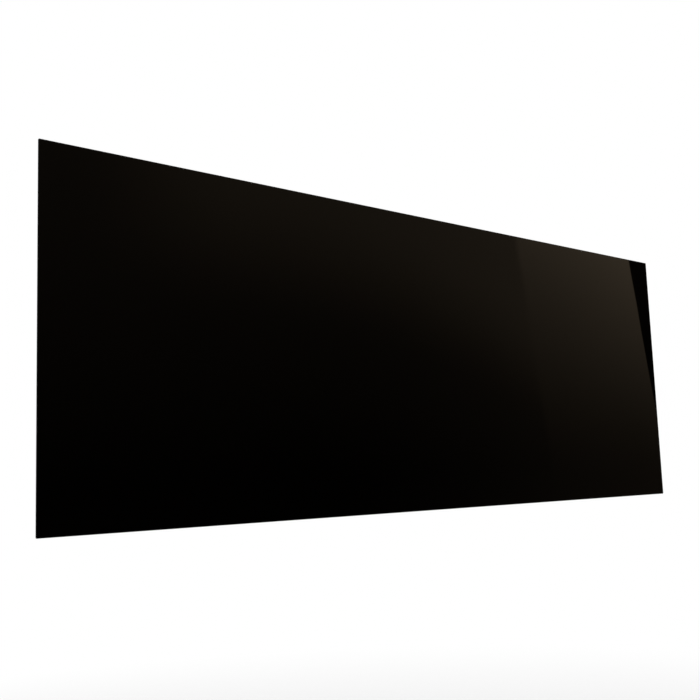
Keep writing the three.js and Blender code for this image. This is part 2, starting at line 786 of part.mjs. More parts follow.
function glandNut() {
  const top = glandShoulder - seatGap;
  const bottom = glandTail - glandStep;
  const [x, y] = [boxX, glandY];
  const dome = solid(new THREE.CylinderGeometry(
    acrossFlats(glandAcross) * 0.9,
    glandThread,
    glandStep,
    20,
  ).rotateX(Math.PI / 2).translate(x, y, glandTail - glandStep / 2));
  return mesh('gland_nut', cut(join([
    glandRod(glandTail, top, acrossFlats(glandAcross), 6),
    dome,
  ]), [
    glandRod(glandTail - seatGap, top + 1, glandThread + fitGap, 20),
    glandRod(bottom - 1, top + 1, glandBore, 16),
  ]), polyamide);
}

function leadGrommet() {
  const from = plateauFront - seatGap - 2;
  const flange = rod('y', from, plateauFront - seatGap, leadHole + 2, [boxX, 0]);
  const neck = rod('y', from, boxFront + boxWall, leadHole, [boxX, 0]);
  const bore = rod('y', from - 1, boxFront + boxWall + 1, leadHole - 1.2, [boxX, 0]);
  return mesh('lead_grommet', flange.add(neck).subtract(bore), rubber);
}

// ---------------------------------------------------------------- leads

// A round lead along a smooth curve through hand-picked places.
function lead(name, places, material, steps) {
  const points = places.map((place) => new THREE.Vector3(...place));
  const curve = new THREE.CatmullRomCurve3(points, false, 'centripetal');
  const section = new THREE.Shape().absarc(0, 0, leadRadius, 0, 2 * Math.PI);
  const tube = new THREE.ExtrudeGeometry(section, { steps, curveSegments: 3, extrudePath: curve });
  return mesh(name, solid(tube), material);
}

const blockTop = boxHeight / 2 - boxWall - 2 * bossRadius - fitGap;
const blockBottom = blockTop - blockWidth;
const terminalPitch = blockLength / 3.2;

// From a hairpin's contact pin, round into the channel behind the reflector's ridge.
function fromPin(z, lane) {
  const start = pinEnd + fitGap;
  return [
    [start, elementY, z],
    [start + 2 * leadRadius, elementY, z],
    [start + 4 * leadRadius, elementY + leadRadius, 0.85 * z],
    [start + 4 * leadRadius, channelY, z / 2],
    [start, channelY, 3 * lane],
    [reflectorHalf, channelY, lane],
  ];
}

// Out of the channel, through board, grommet and box floor to a clamp of the terminal block.
function intoBox(lane, clamp) {
  const inBox = boxFront + boxWall;
  return [
    [boxX + 4 * leadHole, channelY, lane],
    [boxX + leadHole, channelY + leadRadius, lane],
    [boxX, boardFront, lane],
    [boxX, plateauBack, lane],
    [boxX + clamp / 4, inBox + 2 * leadRadius, lane],
    [boxX + clamp, inBox + 5 * leadRadius, blockBottom - 3 * leadRadius],
    [boxX + clamp, inBox + 5 * leadRadius, blockBottom - fitGap],
  ];
}

function mainLeads() {
  const tabEnd = [0, tabTip - fitGap, laneZ];
  const byTab = (x, run) => [
    [cutoutX + x, tabEnd[1], laneZ],
    [cutoutX + x, tabEnd[1] - 3 * leadRadius, laneZ],
    [cutoutX + x + run, channelY, laneZ],
  ];
  return [
    lead('lead_live', [...byTab(-tabX, -4 * leadRadius), ...intoBox(laneZ, terminalPitch)], redLead, 28),
    lead('lead_switched', [...byTab(tabX, 4 * leadRadius), ...fromPin(legs[1], laneZ).reverse()], redLead, 24),
    lead('lead_neutral', [...fromPin(legs[2], -laneZ), ...intoBox(-laneZ, -terminalPitch)], greyLead, 40),
  ];
}

// Joins the outer pins of both elements, so that they work in series. It bows forward, clear of the others.
function seriesLink() {
  const start = pinEnd + fitGap;
  const bow = elementY - 4 * leadRadius;
  return lead('series_link', [
    [start, elementY, legs[0]],
    [start + 2 * leadRadius, elementY, legs[0]],
    [start + 3 * leadRadius, bow, legs[0] * 0.75],
    [start + 4 * leadRadius, bow, 0],
    [start + 3 * leadRadius, bow, legs[3] * 0.75],
    [start + 2 * leadRadius, elementY, legs[3]],
    [start, elementY, legs[3]],
  ], redLead, 22);
}

function earthLead() {
  const inBox = boxFront + boxWall;
  const [studX, studZ] = studPlace();
  const studTip = inBox + seatGap + 9 * studRadius + fitGap;
  return lead('lead_earth', [
    [boxX, inBox + 5 * leadRadius, blockBottom - fitGap],
    [boxX, inBox + 5 * leadRadius, blockBottom - 1.5 * leadRadius],
    [boxX - 3 * leadRadius, inBox + 9 * leadRadius, blockBottom - 2.5 * leadRadius],
    [boxX - 8 * leadRadius, studTip + leadRadius, 0],
    [studX + 3 * leadRadius, studTip + 2.5 * leadRadius, studZ + 2 * leadRadius],
    [studX, studTip + 1.5 * leadRadius, studZ],
    [studX, studTip, studZ],
  ], greenLead, 20);
}

// ---------------------------------------------------------------- yoke, wall bracket and their fasteners

const lockPlace = [slotRadius * Math.cos(lockAngle), slotRadius * Math.sin(lockAngle)];

// A U of sheet seen from above, as (x, y): its web lies at webY and its ears reach to earY.
function channelShape(half, webY, earY, sheet) {
  return sheetShape(filletPath([
    new THREE.Vector2(-half, earY),
    new THREE.Vector2(-half, webY),
    new THREE.Vector2(half, webY),
    new THREE.Vector2(half, earY),
  ], [bendRadius, bendRadius]), Math.sign(webY - earY) * sheet);
}

function yoke() {
  const web = plateauBack + seatGap;
  const tail = lockPlace[0] + 3 * lockBolt.radius;
  const channel = raised(channelShape(yokeHalf, web, tail, yokeSheet), yokeHeight)
    .translate([0, 0, -yokeHeight / 2]);
  const foot = yokeSheet / 3;
  const outline = outlineRound([
    [web + foot, yokeHeight / 2 - foot, foot],
    [web + foot, -yokeHeight / 2 + foot, foot],
    [0, 0, noseRadius],
    [...lockPlace, 3 * lockBolt.radius],
  ]);
  const holes = [
    rod('x', -yokeHalf - 1, yokeHalf + 1, pivotBolt.radius + fitGap, [0, 0]),
    rod('x', -yokeHalf - 1, yokeHalf + 1, lockBolt.radius + fitGap, lockPlace),
    ...yokeScrewPlaces.map((place) =>
      rod('y', web - 1, web + yokeSheet + 1, yokeScrew.radius + fitGap, place, 12)),
  ];
  return mesh('yoke', cut(channel.intersect(alongX(outline, 2 * yokeHalf + 2)), holes), blackPowder);
}

function yokeScrewBody(name, [x, z]) {
  const seat = plateauBack + 2 * seatGap + yokeSheet;
  return mesh(name, join([
    rod('y', seat, seat + yokeScrew.head, acrossFlats(yokeScrew.across), [x, z], 6),
    rod('y', plateauFront - 4, seat + yokeScrew.head / 2, yokeScrew.radius, [x, z], 12),
  ]), steel);
}

// The arc slot that the lock bolt slides in, as an outline about the pivot.
function arcSlot() {
  const [inner, outer] = [slotRadius - slotHalfWidth, slotRadius + slotHalfWidth];
  const end = tilt / 2;
  const [endY, endZ] = [slotRadius * Math.cos(end), slotRadius * Math.sin(end)];
  const shape = new THREE.Shape();
  shape.absarc(0, 0, outer, -end, end);
  shape.absarc(endY, endZ, slotHalfWidth, end, end + Math.PI);
  shape.absarc(0, 0, inner, end, -end, true);
  shape.absarc(endY, -endZ, slotHalfWidth, Math.PI - end, 2 * Math.PI - end);
  return shape;
}

function wallBracket() {
  const wall = pivotStandOff;
  const channel = raised(channelShape(bracketHalf, wall, -noseRadius, bracketSheet), bracketHeight)
    .translate([0, 0, -bracketHeight / 2]);
  const foot = bracketSheet / 3;
  const ear = outlineRound([
    [wall - foot, bracketHeight / 2 - foot, foot],
    [wall - foot, -bracketHeight / 2 + foot, foot],
    [0, 0, noseRadius],
  ]);
  const outline = alongX(ear, 2 * bracketHalf + 2);
  const slotX = bracketHalf - bracketSheet - wallSlotLength;
  const slotZ = bracketHeight / 2 - 2.2 * wallSlotWidth;
  const wallSlots = [1, -1].flatMap((sideX) => [1, -1].map((sideZ) => alongY(
    roundedShape(wallSlotLength, wallSlotWidth, wallSlotWidth / 2 - 0.01, sideX * slotX, sideZ * slotZ),
    bracketSheet + 2,
    wall - bracketSheet - 1,
  )));
  const holes = [
    rod('x', -bracketHalf - 1, bracketHalf + 1, pivotBolt.radius + fitGap, [0, 0]),
    alongX(arcSlot(), 2 * bracketHalf + 2, 0, 5),
    ...wallSlots,
  ];
  return mesh('wall_bracket', cut(channel.intersect(outline), holes), blackPowder);
}

// The fasteners of one side, named by places that count outwards from the middle.
function hingeFasteners(side) {
  const hand = side > 0 ? 'right' : 'left';
  const flip = (from, to) => (side > 0 ? [from, to] : [-to, -from]);
  const bar = (from, to, radius, at, sides) => rod('x', ...flip(from, to), radius, at, sides);
  const outer = bracketHalf + fitGap;
  const bolt = (name, size, at, seat, flange) => {
    const tip = yokeInner - seatGap - size.nut - size.radius / 2;
    return mesh(`${name}_${hand}`, join([
      bar(seat, seat + size.head, acrossFlats(size.across), at, 6),
      bar(tip, seat + size.head / 2, size.radius, at, 12),
      ...flange,
    ]), steel);
  };
  const collar = bar(outer, outer + washerSheet, 2.3 * lockBolt.radius, lockPlace, 16);
  const pivotBore = pivotBolt.radius + fitGap;
  const ring = (name, [from, to], bore, radius, at, material, sides = 16) => {
    const disc = bar(from, to, radius, at, sides);
    return mesh(`${name}_${hand}`, disc.subtract(bar(from - 1, to + 1, bore, at, 12)), material);
  };
  const nut = (name, size, at) => {
    const seat = yokeInner - seatGap;
    return ring(name, [seat - size.nut, seat], size.radius + seatGap, acrossFlats(size.across), at, steel, 6);
  };
  const washer = [outer, outer + washerSheet];
  const friction = [yokeHalf + fitGap, earInner - fitGap];
  return [
    bolt('pivot_bolt', pivotBolt, [0, 0], outer + washerSheet + seatGap, []),
    ring('pivot_washer', washer, pivotBore, 2.1 * pivotBolt.radius, [0, 0], steel),
    nut('pivot_nut', pivotBolt, [0, 0]),
    ring('friction_washer', friction, pivotBore, frictionRadius, [0, 0], polyamide),
    bolt('lock_bolt', lockBolt, lockPlace, outer, [collar]),
    nut('lock_nut', lockBolt, lockPlace),
  ];
}

// ---------------------------------------------------------------- assembly

const heater = new THREE.Group();
heater.position.set(0, -pivotStandOff, 0);
heater.add(
  glassPanel(),
  glassBond(),
  carrierFrame(),
  rearHousing(),
  reflector(),
  reflectorEnd(-1),
  reflectorEnd(1),
  element('element_upper', 1),
  element('element_lower', -1),
  elementFlange('element_flange_upper', 1),
  elementFlange('element_flange_lower', -1),
  ...legs.map((z, i) => terminalBead(`terminal_bead_${i + 1}`, z)),
  elementSupport('element_support_upper_right', 1, 1),
  elementSupport('element_support_upper_left', -1, 1),
  elementSupport('element_support_lower_right', 1, -1),
  elementSupport('element_support_lower_left', -1, -1),
  insulationBoard(),
  thermalCutout(),
  ...mainLeads(),
  seriesLink(),
  earthLead(),
  leadGrommet(),
  terminalBox(),
  boxGasket(),
  boxCover(),
  ...boxScrewPlaces.map((place, i) => coverScrew(`cover_screw_${i + 1}`, place)),
  terminalBlock(),
  earthStud(),
  earthNut(),
  glandBody(),
  glandLocknut(),
  glandSeal(),
  glandNut(),
  yoke(),
  ...yokeScrewPlaces.map((place, i) => yokeScrewBody(`yoke_screw_${i + 1}`, place)),
  ...hingeFasteners(1),
  ...hingeFasteners(-1),
);

const bracket = new THREE.Group();
bracket.position.set(0, -pivotStandOff, 0);
bracket.add(wallBracket());

const group = new THREE.Group();
group.add(heater, bracket);

export default group;
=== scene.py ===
import json
import math
import re

import bmesh
import bpy
import numpy as np
from mathutils import Matrix, Vector
from mathutils.geometry import convex_hull_2d, delaunay_2d_cdt


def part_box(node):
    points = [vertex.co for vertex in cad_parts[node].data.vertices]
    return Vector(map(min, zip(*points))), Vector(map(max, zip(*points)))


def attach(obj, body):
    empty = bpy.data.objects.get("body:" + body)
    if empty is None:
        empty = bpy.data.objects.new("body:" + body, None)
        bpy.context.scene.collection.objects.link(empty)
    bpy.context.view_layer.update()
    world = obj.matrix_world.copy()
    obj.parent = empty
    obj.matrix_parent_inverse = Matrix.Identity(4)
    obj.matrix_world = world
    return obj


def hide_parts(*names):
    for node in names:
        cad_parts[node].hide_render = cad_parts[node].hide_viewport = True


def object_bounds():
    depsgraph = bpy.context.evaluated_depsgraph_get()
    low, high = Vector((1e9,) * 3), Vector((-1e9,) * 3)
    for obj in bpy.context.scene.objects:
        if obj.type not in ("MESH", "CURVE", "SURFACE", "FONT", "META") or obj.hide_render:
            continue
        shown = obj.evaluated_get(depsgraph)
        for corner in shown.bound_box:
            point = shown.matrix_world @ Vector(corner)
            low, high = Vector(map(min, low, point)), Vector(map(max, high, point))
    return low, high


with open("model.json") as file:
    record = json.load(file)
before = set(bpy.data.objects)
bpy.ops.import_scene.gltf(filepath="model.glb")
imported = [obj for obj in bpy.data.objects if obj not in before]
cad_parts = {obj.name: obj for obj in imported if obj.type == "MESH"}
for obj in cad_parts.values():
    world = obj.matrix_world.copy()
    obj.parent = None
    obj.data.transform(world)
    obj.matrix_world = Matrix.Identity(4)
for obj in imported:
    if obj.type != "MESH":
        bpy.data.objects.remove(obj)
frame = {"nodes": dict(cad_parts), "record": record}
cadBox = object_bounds()
print("frame loaded:", len(frame["nodes"]), "nodes")


class Sizes(dict):
    # a dictionary of settings whose values are read as attributes
    __getattr__ = dict.__getitem__


def placed(name, data):
    obj = bpy.data.objects.new(name, data)
    bpy.context.scene.collection.objects.link(obj)
    return obj


# camera: the place and heading that the panel's four corners give, in metres and degrees

cameraSet = Sizes(
    place=(-0.70991, -0.83077, -0.11446),
    heading=40.819,  # to the right of straight at the wall
    pitch=7.400,
    roll=2.054,
    lens=49.564,
    sensor=36.0,
    clipEnd=400,
)


def makeCamera(s):
    data = bpy.data.cameras.new("camera")
    data.lens = s.lens
    data.sensor_width = s.sensor
    data.clip_end = s.clipEnd
    camera = placed("camera", data)
    turn = Matrix.Rotation(-math.radians(s.heading), 4, "Z")
    tip = Matrix.Rotation(math.radians(90 + s.pitch), 4, "X")
    lean = Matrix.Rotation(-math.radians(s.roll), 4, "Z")
    camera.matrix_world = Matrix.Translation(s.place) @ turn @ tip @ lean
    bpy.context.scene.camera = camera


makeCamera(cameraSet)
print("camera placed")


# shader nodes

def newMaterial(name):
    material = bpy.data.materials.new(name)
    material.use_nodes = True
    return material, material.node_tree, material.node_tree.nodes["Principled BSDF"]


def feed(tree, node, inputs):
    # each input takes a number, a colour or another node's socket
    for name, value in inputs.items():
        if isinstance(value, bpy.types.NodeSocket):
            tree.links.new(value, node.inputs[name])
        else:
            node.inputs[name].default_value = value


def addNode(tree, kind, inputs, output=0, **settings):
    node = tree.nodes.new(f"ShaderNode{kind}")
    for name, value in settings.items():
        setattr(node, name, value)
    feed(tree, node, inputs)
    return node.outputs[output]


def objectNoise(tree, scale, detail, stretch=(1, 1, 1), offset=(0, 0, 0)):
    # noise in the object's own metres, drawn out along an axis by stretch
    where = addNode(tree, "TexCoord", {}, "Object")
    turned = addNode(tree, "Mapping", {"Vector": where, "Scale": stretch, "Location": offset})
    return addNode(tree, "TexNoise", {"Vector": turned, "Scale": scale, "Detail": detail}, "Fac")


def ramp(tree, source, low, high, start=0.3, end=0.7):
    node = tree.nodes.new("ShaderNodeValToRGB")
    for element, place, colour in zip(node.color_ramp.elements, (start, end), (low, high)):
        element.position = place
        element.color = (*colour, 1)
    feed(tree, node, {"Fac": source})
    return node.outputs["Color"]


def mapped(tree, value, start, end, low, high, kind="LINEAR"):
    # what lies between start and end is carried over to the range from low to high
    inputs = {"Value": value, "From Min": start, "From Max": end, "To Min": low, "To Max": high}
    return addNode(tree, "MapRange", inputs, "Result", interpolation_type=kind)


def bump(tree, source, distance, strength=1.0):
    return addNode(tree, "Bump", {"Height": source, "Distance": distance, "Strength": strength}, "Normal")


# finishes, by the record's material slots: two tones that a soft cloud runs between, metal, the roughness's
# range, then the grain's size and relief and the cloud's size in millimetres

perMetre = 1000
finishes = {
    "black_powder": ((0.0125, 0.0125, 0.013), (0.019, 0.019, 0.0195), 0.0, (0.36, 0.5), (1.7, 0.22, 90)),
    "silicone": ((0.012, 0.011, 0.011), (0.02, 0.019, 0.018), 0.0, (0.6, 0.75), (3.0, 0.2, 60)),
    "reflector_sheet": ((0.82, 0.82, 0.83), (0.9, 0.9, 0.9), 1.0, (0.12, 0.24), (0.9, 0.02, 150)),
    "element_sheath": ((0.09, 0.075, 0.06), (0.19, 0.16, 0.13), 0.9, (0.4, 0.6), (2.0, 0.05, 30)),
    "ceramic": ((0.72, 0.69, 0.62), (0.83, 0.8, 0.74), 0.0, (0.45, 0.62), (1.2, 0.05, 10)),
    "fibre_board": ((0.68, 0.63, 0.53), (0.82, 0.78, 0.69), 0.0, (0.85, 0.98), (1.8, 0.6, 50)),
    "steel": ((0.46, 0.47, 0.48), (0.6, 0.61, 0.62), 1.0, (0.2, 0.36), (0.7, 0.03, 6)),
    "brass": ((0.56, 0.4, 0.16), (0.74, 0.57, 0.28), 1.0, (0.22, 0.38), (0.9, 0.02, 6)),
    "rubber": ((0.01, 0.01, 0.01), (0.018, 0.018, 0.018), 0.0, (0.65, 0.85), (1.2, 0.08, 10)),
    "lead_red": ((0.34, 0.04, 0.03), (0.46, 0.07, 0.05), 0.0, (0.45, 0.6), (1.2, 0.03, 10)),
    "lead_grey": ((0.22, 0.22, 0.21), (0.3, 0.3, 0.29), 0.0, (0.45, 0.6), (1.2, 0.03, 10)),
    "lead_green": ((0.09, 0.22, 0.04), (0.15, 0.3, 0.07), 0.0, (0.45, 0.6), (1.2, 0.03, 10)),
    "polyamide": ((0.012, 0.012, 0.013), (0.02, 0.02, 0.021), 0.0, (0.38, 0.52), (0.9, 0.04, 10)),
}
brushed = {"reflector_sheet": (0.03, 1, 1)}  # grain drawn out along the sheet
cloudOffset = (3.1, 0.7, 1.9)
glassSet = Sizes(
    tone=(0.00022, 0.00018, 0.00015),
    toneHigh=(0.0004, 0.0003, 0.00025),
    rough=(0.006, 0.014),
    ior=1.52,
    cloud=0.111,  # metres
    wave=0.12,  # metres from crest to crest of the rolled sheet's slight waviness
    waveShape=(1, 1, 2.2),
    waveDepth=0.000015,
)


def camel(name):
    first, *rest = name.split("_")
    return first + "".join(word.capitalize() for word in rest)


def surfaceFinish(slot, dark, light, metal, rough, sizes):
    grain, relief, cloud = sizes
    material, tree, shader = newMaterial(camel(slot))
    fine = objectNoise(tree, perMetre / grain, 4, brushed.get(slot, (1, 1, 1)))
    soft = objectNoise(tree, perMetre / cloud, 3, offset=cloudOffset)
    feed(tree, shader, {
        "Base Color": ramp(tree, soft, dark, light, 0.3, 0.75),
        "Roughness": mapped(tree, fine, 0.3, 0.7, *rough),
        "Metallic": metal,
        "Normal": bump(tree, fine, relief / perMetre, 0.6),
    })
    return material


def blackGlass(s):
    material, tree, shader = newMaterial("blackGlass")
    cloud = objectNoise(tree, 1 / s.cloud, 2)
    wave = objectNoise(tree, 1 / s.wave, 0, s.waveShape)
    feed(tree, shader, {
        "Base Color": ramp(tree, cloud, s.tone, s.toneHigh),
        "Roughness": mapped(tree, cloud, 0.3, 0.7, *s.rough),
        "IOR": s.ior,
        "Normal": bump(tree, wave, s.waveDepth),
    })
    return material


finish = {slot: surfaceFinish(slot, *row) for slot, row in finishes.items()}
finish["front_glass"] = blackGlass(glassSet)
slotOf = {row["node"]: row["material_slot"] for row in frame["record"]["subparts"]}
for node, obj in frame["nodes"].items():
    obj.data.materials.clear()
    obj.data.materials.append(finish[slotOf[node]])
print("finishes laid on the carried-over nodes")


# surfaces, worked out as whole arrays in millimetres from the tilt axis

axisPlace = (0.0, -62.0, 0.0)  # the tilt axis in the frame's millimetres
halfX, halfZ = cadBox[1].x * perMetre, cadBox[1].z * perMetre  # half the glass
weldAt = 2e-6  # metres
edgeBevel = {"segments": 2, "limit_method": "ANGLE", "angle_limit": math.radians(50)}


def span(node, axis):
    # where a carried-over node starts and ends along an axis
    i = "xyz".index(axis)
    return [corner[i] * perMetre - axisPlace[i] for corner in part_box(node)]


def centreOf(node, axes):
    return [sum(span(node, axis)) / 2 for axis in axes]


def halfSize(node, axis):
    low, high = span(node, axis)
    return (high - low) / 2


def meshOf(points, faces):
    mesh = bpy.data.meshes.new("part")
    world = (np.asarray(points, float).reshape(-1, 3) + axisPlace) / perMetre
    mesh.from_pydata(world.tolist(), [], faces)
    return together([mesh])


def together(meshes):
    # several meshes as one, its doubles merged and its faces turned outwards
    work = bmesh.new()
    for mesh in meshes:
        work.from_mesh(mesh)
    bmesh.ops.remove_doubles(work, verts=work.verts, dist=weldAt)
    bmesh.ops.recalc_face_normals(work, faces=work.faces)
    whole = bpy.data.meshes.new("whole")
    work.to_mesh(whole)
    work.free()
    return whole


def addModifiers(obj, modifiers):
    for kind, settings in modifiers:
        modifier = obj.modifiers.new(kind.lower(), kind)
        for name, value in settings.items():
            setattr(modifier, name, value)


def applied(mesh, modifiers):
    holder = placed("holder", mesh)
    addModifiers(holder, modifiers)
    bpy.context.view_layer.update()
    evaluated = holder.evaluated_get(bpy.context.evaluated_depsgraph_get())
    result = together([bpy.data.meshes.new_from_object(evaluated)])
    bpy.data.objects.remove(holder, do_unlink=True)
    return result


def worked(base, *steps):
    # each step is DIFFERENCE, INTERSECT or UNION with some meshes, and the steps are applied in turn
    tools = [placed("tool", together(meshes)) for _, meshes in steps]
    mesh = applied(base, [("BOOLEAN", {"operation": step[0], "solver": "EXACT", "object": tool})
                          for step, tool in zip(steps, tools)])
    for tool in tools:
        bpy.data.objects.remove(tool, do_unlink=True)
    return mesh


ownNames = {"glass_panel": "glassSheet", "glass_bond": "siliconeBond", "reflector": "reflectorSheet",
            "element": "elementSheath", "yoke": "tiltYoke", "gland_nut": "glandCapNut"}


def pieceName(node):
    # pivot_bolt_right becomes pivotBolt_right
    stem, ends = re.fullmatch(r"(.+?)((?:_(?:left|right|upper|lower|\d))*)", node).groups()
    return ownNames.get(stem, camel(stem)) + ends


def addPiece(mesh, node=None, name=None, slot=None, body="heater", edge=0.0, sharp=35):
    # node is the carried-over node that the piece stands for; edge is the radius laid on its sharp edges
    mesh.name = name = name or pieceName(node)
    mesh.polygons.foreach_set("use_smooth", np.ones(len(mesh.polygons), bool))
    mesh.set_sharp_from_angle(angle=math.radians(sharp))
    mesh.materials.clear()
    mesh.materials.append(finish[slot or slotOf[node]])
    obj = placed(name, mesh)
    if edge:
        addModifiers(obj, [("BEVEL", {"width": edge / perMetre, **edgeBevel})])
    addModifiers(obj, [("WEIGHTED_NORMAL", {"keep_sharp": True})])
    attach(obj, body)
    if node:
        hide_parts(node)


def gridFaces(rows, cols, joinRows=False, joinCols=False):
    # the quads between neighbouring points of a grid whose rows or columns may close on themselves
    r, c = np.meshgrid(np.arange(rows if joinRows else rows - 1), np.arange(cols if joinCols else cols - 1),
                       indexing="ij")
    up, on = (r + 1) % rows, (c + 1) % cols
    quads = np.stack([r * cols + c, r * cols + on, up * cols + on, up * cols + c], -1)
    return quads.reshape(-1, 4).tolist()


def skin(points, closed):
    # rings with as many points each: joined end to start where closed, and otherwise capped at both ends
    rows, cols = points.shape[:2]
    caps = [] if closed else [list(range(cols)), list(range((rows - 1) * cols, rows * cols))]
    return meshOf(points, gridFaces(rows, cols, closed, True) + caps)


def rounded(halfU, halfV, corner, centre=(0, 0), steps=8):
    # both coordinates round a rounded rectangle: centre + side x (half size - corner) + corner x direction
    side = np.repeat([(1, 1), (-1, 1), (-1, -1), (1, -1)], steps + 1, axis=0).T
    angle = (np.repeat(np.arange(4), steps + 1) + np.tile(np.arange(steps + 1) / steps, 4)) * np.pi / 2
    return [centre[i] + side[i] * (half - corner) + corner * direction
            for i, (half, direction) in enumerate(((halfU, np.cos(angle)), (halfV, np.sin(angle))))]


def roundedOutline(halfU, halfV, corner, centre=(0, 0)):
    return np.column_stack(rounded(halfU, halfV, corner, centre))


def framed(profile, half=None, centreX=0.0, steps=10):
    # a profile of (inset, y, corner radius) carried round a rounded rectangle
    across, up = half or (halfX, halfZ)
    inset, y, radius = np.asarray(profile, float).T[:, :, None]
    x, z = rounded(across - inset, up - inset, radius, (centreX, 0), steps)
    return np.stack([x, np.broadcast_to(y, x.shape), z], -1)


def arc(centre, radius, start, end, steps=8):
    # a round stretch between two angles in degrees
    angle = np.radians(np.linspace(start, end, steps + 1))
    return np.column_stack([centre[0] + radius * np.cos(angle), centre[1] + radius * np.sin(angle)])


def filleted(corners, radii, steps=6):
    # a polyline whose inner corners are arcs: the arc starts at corner + back x radius / tan(half the angle)
    # and turns about the point at radius / sin(half the angle) on the corner's bisector
    corners = np.asarray(corners, float)
    path = [corners[:1]]
    for i, radius in enumerate(radii, 1):
        sides = [corners[i - 1] - corners[i], corners[i + 1] - corners[i]]
        back, ahead = (side / np.linalg.norm(side) for side in sides)
        half = math.acos(np.clip(back @ ahead, -1, 1)) / 2
        centre = corners[i] + (back + ahead) / np.linalg.norm(back + ahead) * radius / math.sin(half)
        start, end = (corners[i] + side * radius / math.tan(half) - centre for side in (back, ahead))
        sweep = math.atan2(start[0] * end[1] - start[1] * end[0], start @ end)
        turn = np.linspace(0, sweep, steps + 1)[:, None]
        path.append(centre + start * np.cos(turn) + np.array([-start[1], start[0]]) * np.sin(turn))
    return np.vstack([*path, corners[-1:]])


def outlineRound(circles):
    # the smallest outline round some circles, given as centre and radius
    points = np.vstack([arc(circle[:2], circle[2], 0, 360, 72)[:-1] for circle in circles])
    return points[convex_hull_2d([Vector(point) for point in points])]


def prism(outline, along, start, end):
    # an outline in the two other axes, carried along x, y or z
    axis = "xyz".index(along)
    points = np.zeros((2, len(outline), 3))
    points[:, :, [i for i in range(3) if i != axis]] = outline
    points[0, :, axis], points[1, :, axis] = start, end
    return skin(points, False)


def rod(along, at, radius, start, end, sides=40):
    return prism(arc(at, radius, 0, 360, sides)[:-1], along, start, end)


def holes(axis, places, radius, start, end, sides=40):
    # a rod at each place, for a cut that runs 1 mm past both ends
    return [rod(axis, at, radius, start - 1, end + 1, sides) for at in places]


def slotOutline(centre, length, width):
    # a slot with half-round ends, its length along the first axis
    reach = (length - width) / 2
    return np.vstack([arc((centre[0] + reach, centre[1]), width / 2, -90, 90, 12),
                      arc((centre[0] - reach, centre[1]), width / 2, 90, 270, 12)])


def spun(axis, at, rings, closed=False, pitch=1.25, sides=48):
    # a turned, hexagonal or threaded body: each ring has its place along the axis, radius, distance across
    # flats (0 where round) and thread depth; radius = the least of the round one and half the distance
    # across flats / cos(angle from the middle of a flat), less depth x a triangle wave of
    # (place / pitch - turn)
    place, radius, across, depth = np.asarray([[*ring, 0, 0][:4] for ring in rings], float).T[:, :, None]
    turn = np.linspace(0, 2 * np.pi, sides, endpoint=False)[None]
    flat = (turn + np.pi / 6) % (np.pi / 3) - np.pi / 6
    hexagon = np.where(across > 0, across / 2 / np.cos(flat), 1e3)
    wave = np.abs(((place / pitch - turn / (2 * np.pi)) % 1) * 2 - 1)
    r = np.minimum(radius, hexagon) - depth * wave
    u, v = at[0] + r * np.cos(turn), at[1] + r * np.sin(turn)
    along = np.broadcast_to(place, r.shape)
    order = {"x": (along, u, v), "y": (u, along, v), "z": (u, v, along)}[axis]
    return skin(np.stack(order, -1), closed)


# glass, its silicone bond and the folded carrier frame

glassShape = Sizes(
    corner=0.9, arris=0.45,
    flat=0.7,  # the polished face starts this far in
    land=0.6, bevel=2.4,  # the edge stands upright for the land and is bevelled away behind it
    backArris=0.25,
)


def makeGlass(s):
    front, back = span("glass_panel", "y")
    arris = s.arris * (1 - arc((0, 0), 1, 0, 90))  # from the face's rim to the edge
    rows = [(s.flat, front), *((inset, front + y) for y, inset in arris),
            (0, front + s.arris + s.land), (s.bevel, back - s.backArris),
            (s.bevel + s.backArris, back)]
    profile = [(inset, y, max(s.corner - inset, 0.1)) for inset, y in rows]
    addPiece(skin(framed(profile, steps=6), False), "glass_panel", sharp=25)


bondShape = Sizes(inset=11.0, width=14.0, corner=9.0)


def makeBond(s):
    front, back = span("glass_bond", "y")
    bulge, inner = (back - front) / 2, s.inset + s.width
    ends = [arc((s.inset + bulge, front + bulge), bulge, 270, 90, 6),
            arc((inner - bulge, front + bulge), bulge, 90, -90, 6)]
    profile = [(inset, y, s.corner) for inset, y in np.vstack(ends)]
    addPiece(skin(framed(profile), True), "glass_bond")


frameShape = Sizes(inset=8.0, land=40.0, sheet=1.5, bend=2.2, corner=9.0, landCorner=22.0)
rimScrewSet = Sizes(inset=18.75, columns=(-372, -186, 0, 186, 372), radius=1.5, head=3.4, rise=2.0,
               socket=2.5, hole=1.7)
rimScrewX, rimScrewZ = halfX - rimScrewSet.inset, halfZ - rimScrewSet.inset
rimScrewPlaces = [(x, side * rimScrewZ) for side in (1, -1) for x in rimScrewSet.columns]
rimScrewPlaces += [(side * rimScrewX, 0) for side in (1, -1)]


def makeFrame(s):
    front, lip = span("carrier_frame", "y")
    back = front + s.sheet
    lipInside = s.inset + s.sheet
    outside = filleted([(s.land, front), (s.inset, front), (s.inset, lip)], [s.bend])
    inside = filleted([(lipInside, lip), (lipInside, back), (s.land, back)], [s.bend - s.sheet])
    corner = [np.interp(outside[:, 0], [s.inset, s.land], [s.corner, s.landCorner]),
              np.interp(inside[:, 0], [lipInside, s.land], [s.corner - s.sheet, s.landCorner])]
    profile = np.column_stack([np.vstack([outside, inside]), np.concatenate(corner)])
    screws = holes("y", rimScrewPlaces, rimScrewSet.hole, front, back, 16)
    addPiece(worked(skin(framed(profile), True), ("DIFFERENCE", screws)), "carrier_frame", edge=0.25)


makeGlass(glassShape)
makeBond(bondShape)
makeFrame(frameShape)
print("glass, bond and carrier frame made")


# rear housing: a drawn pan with pressed louvres

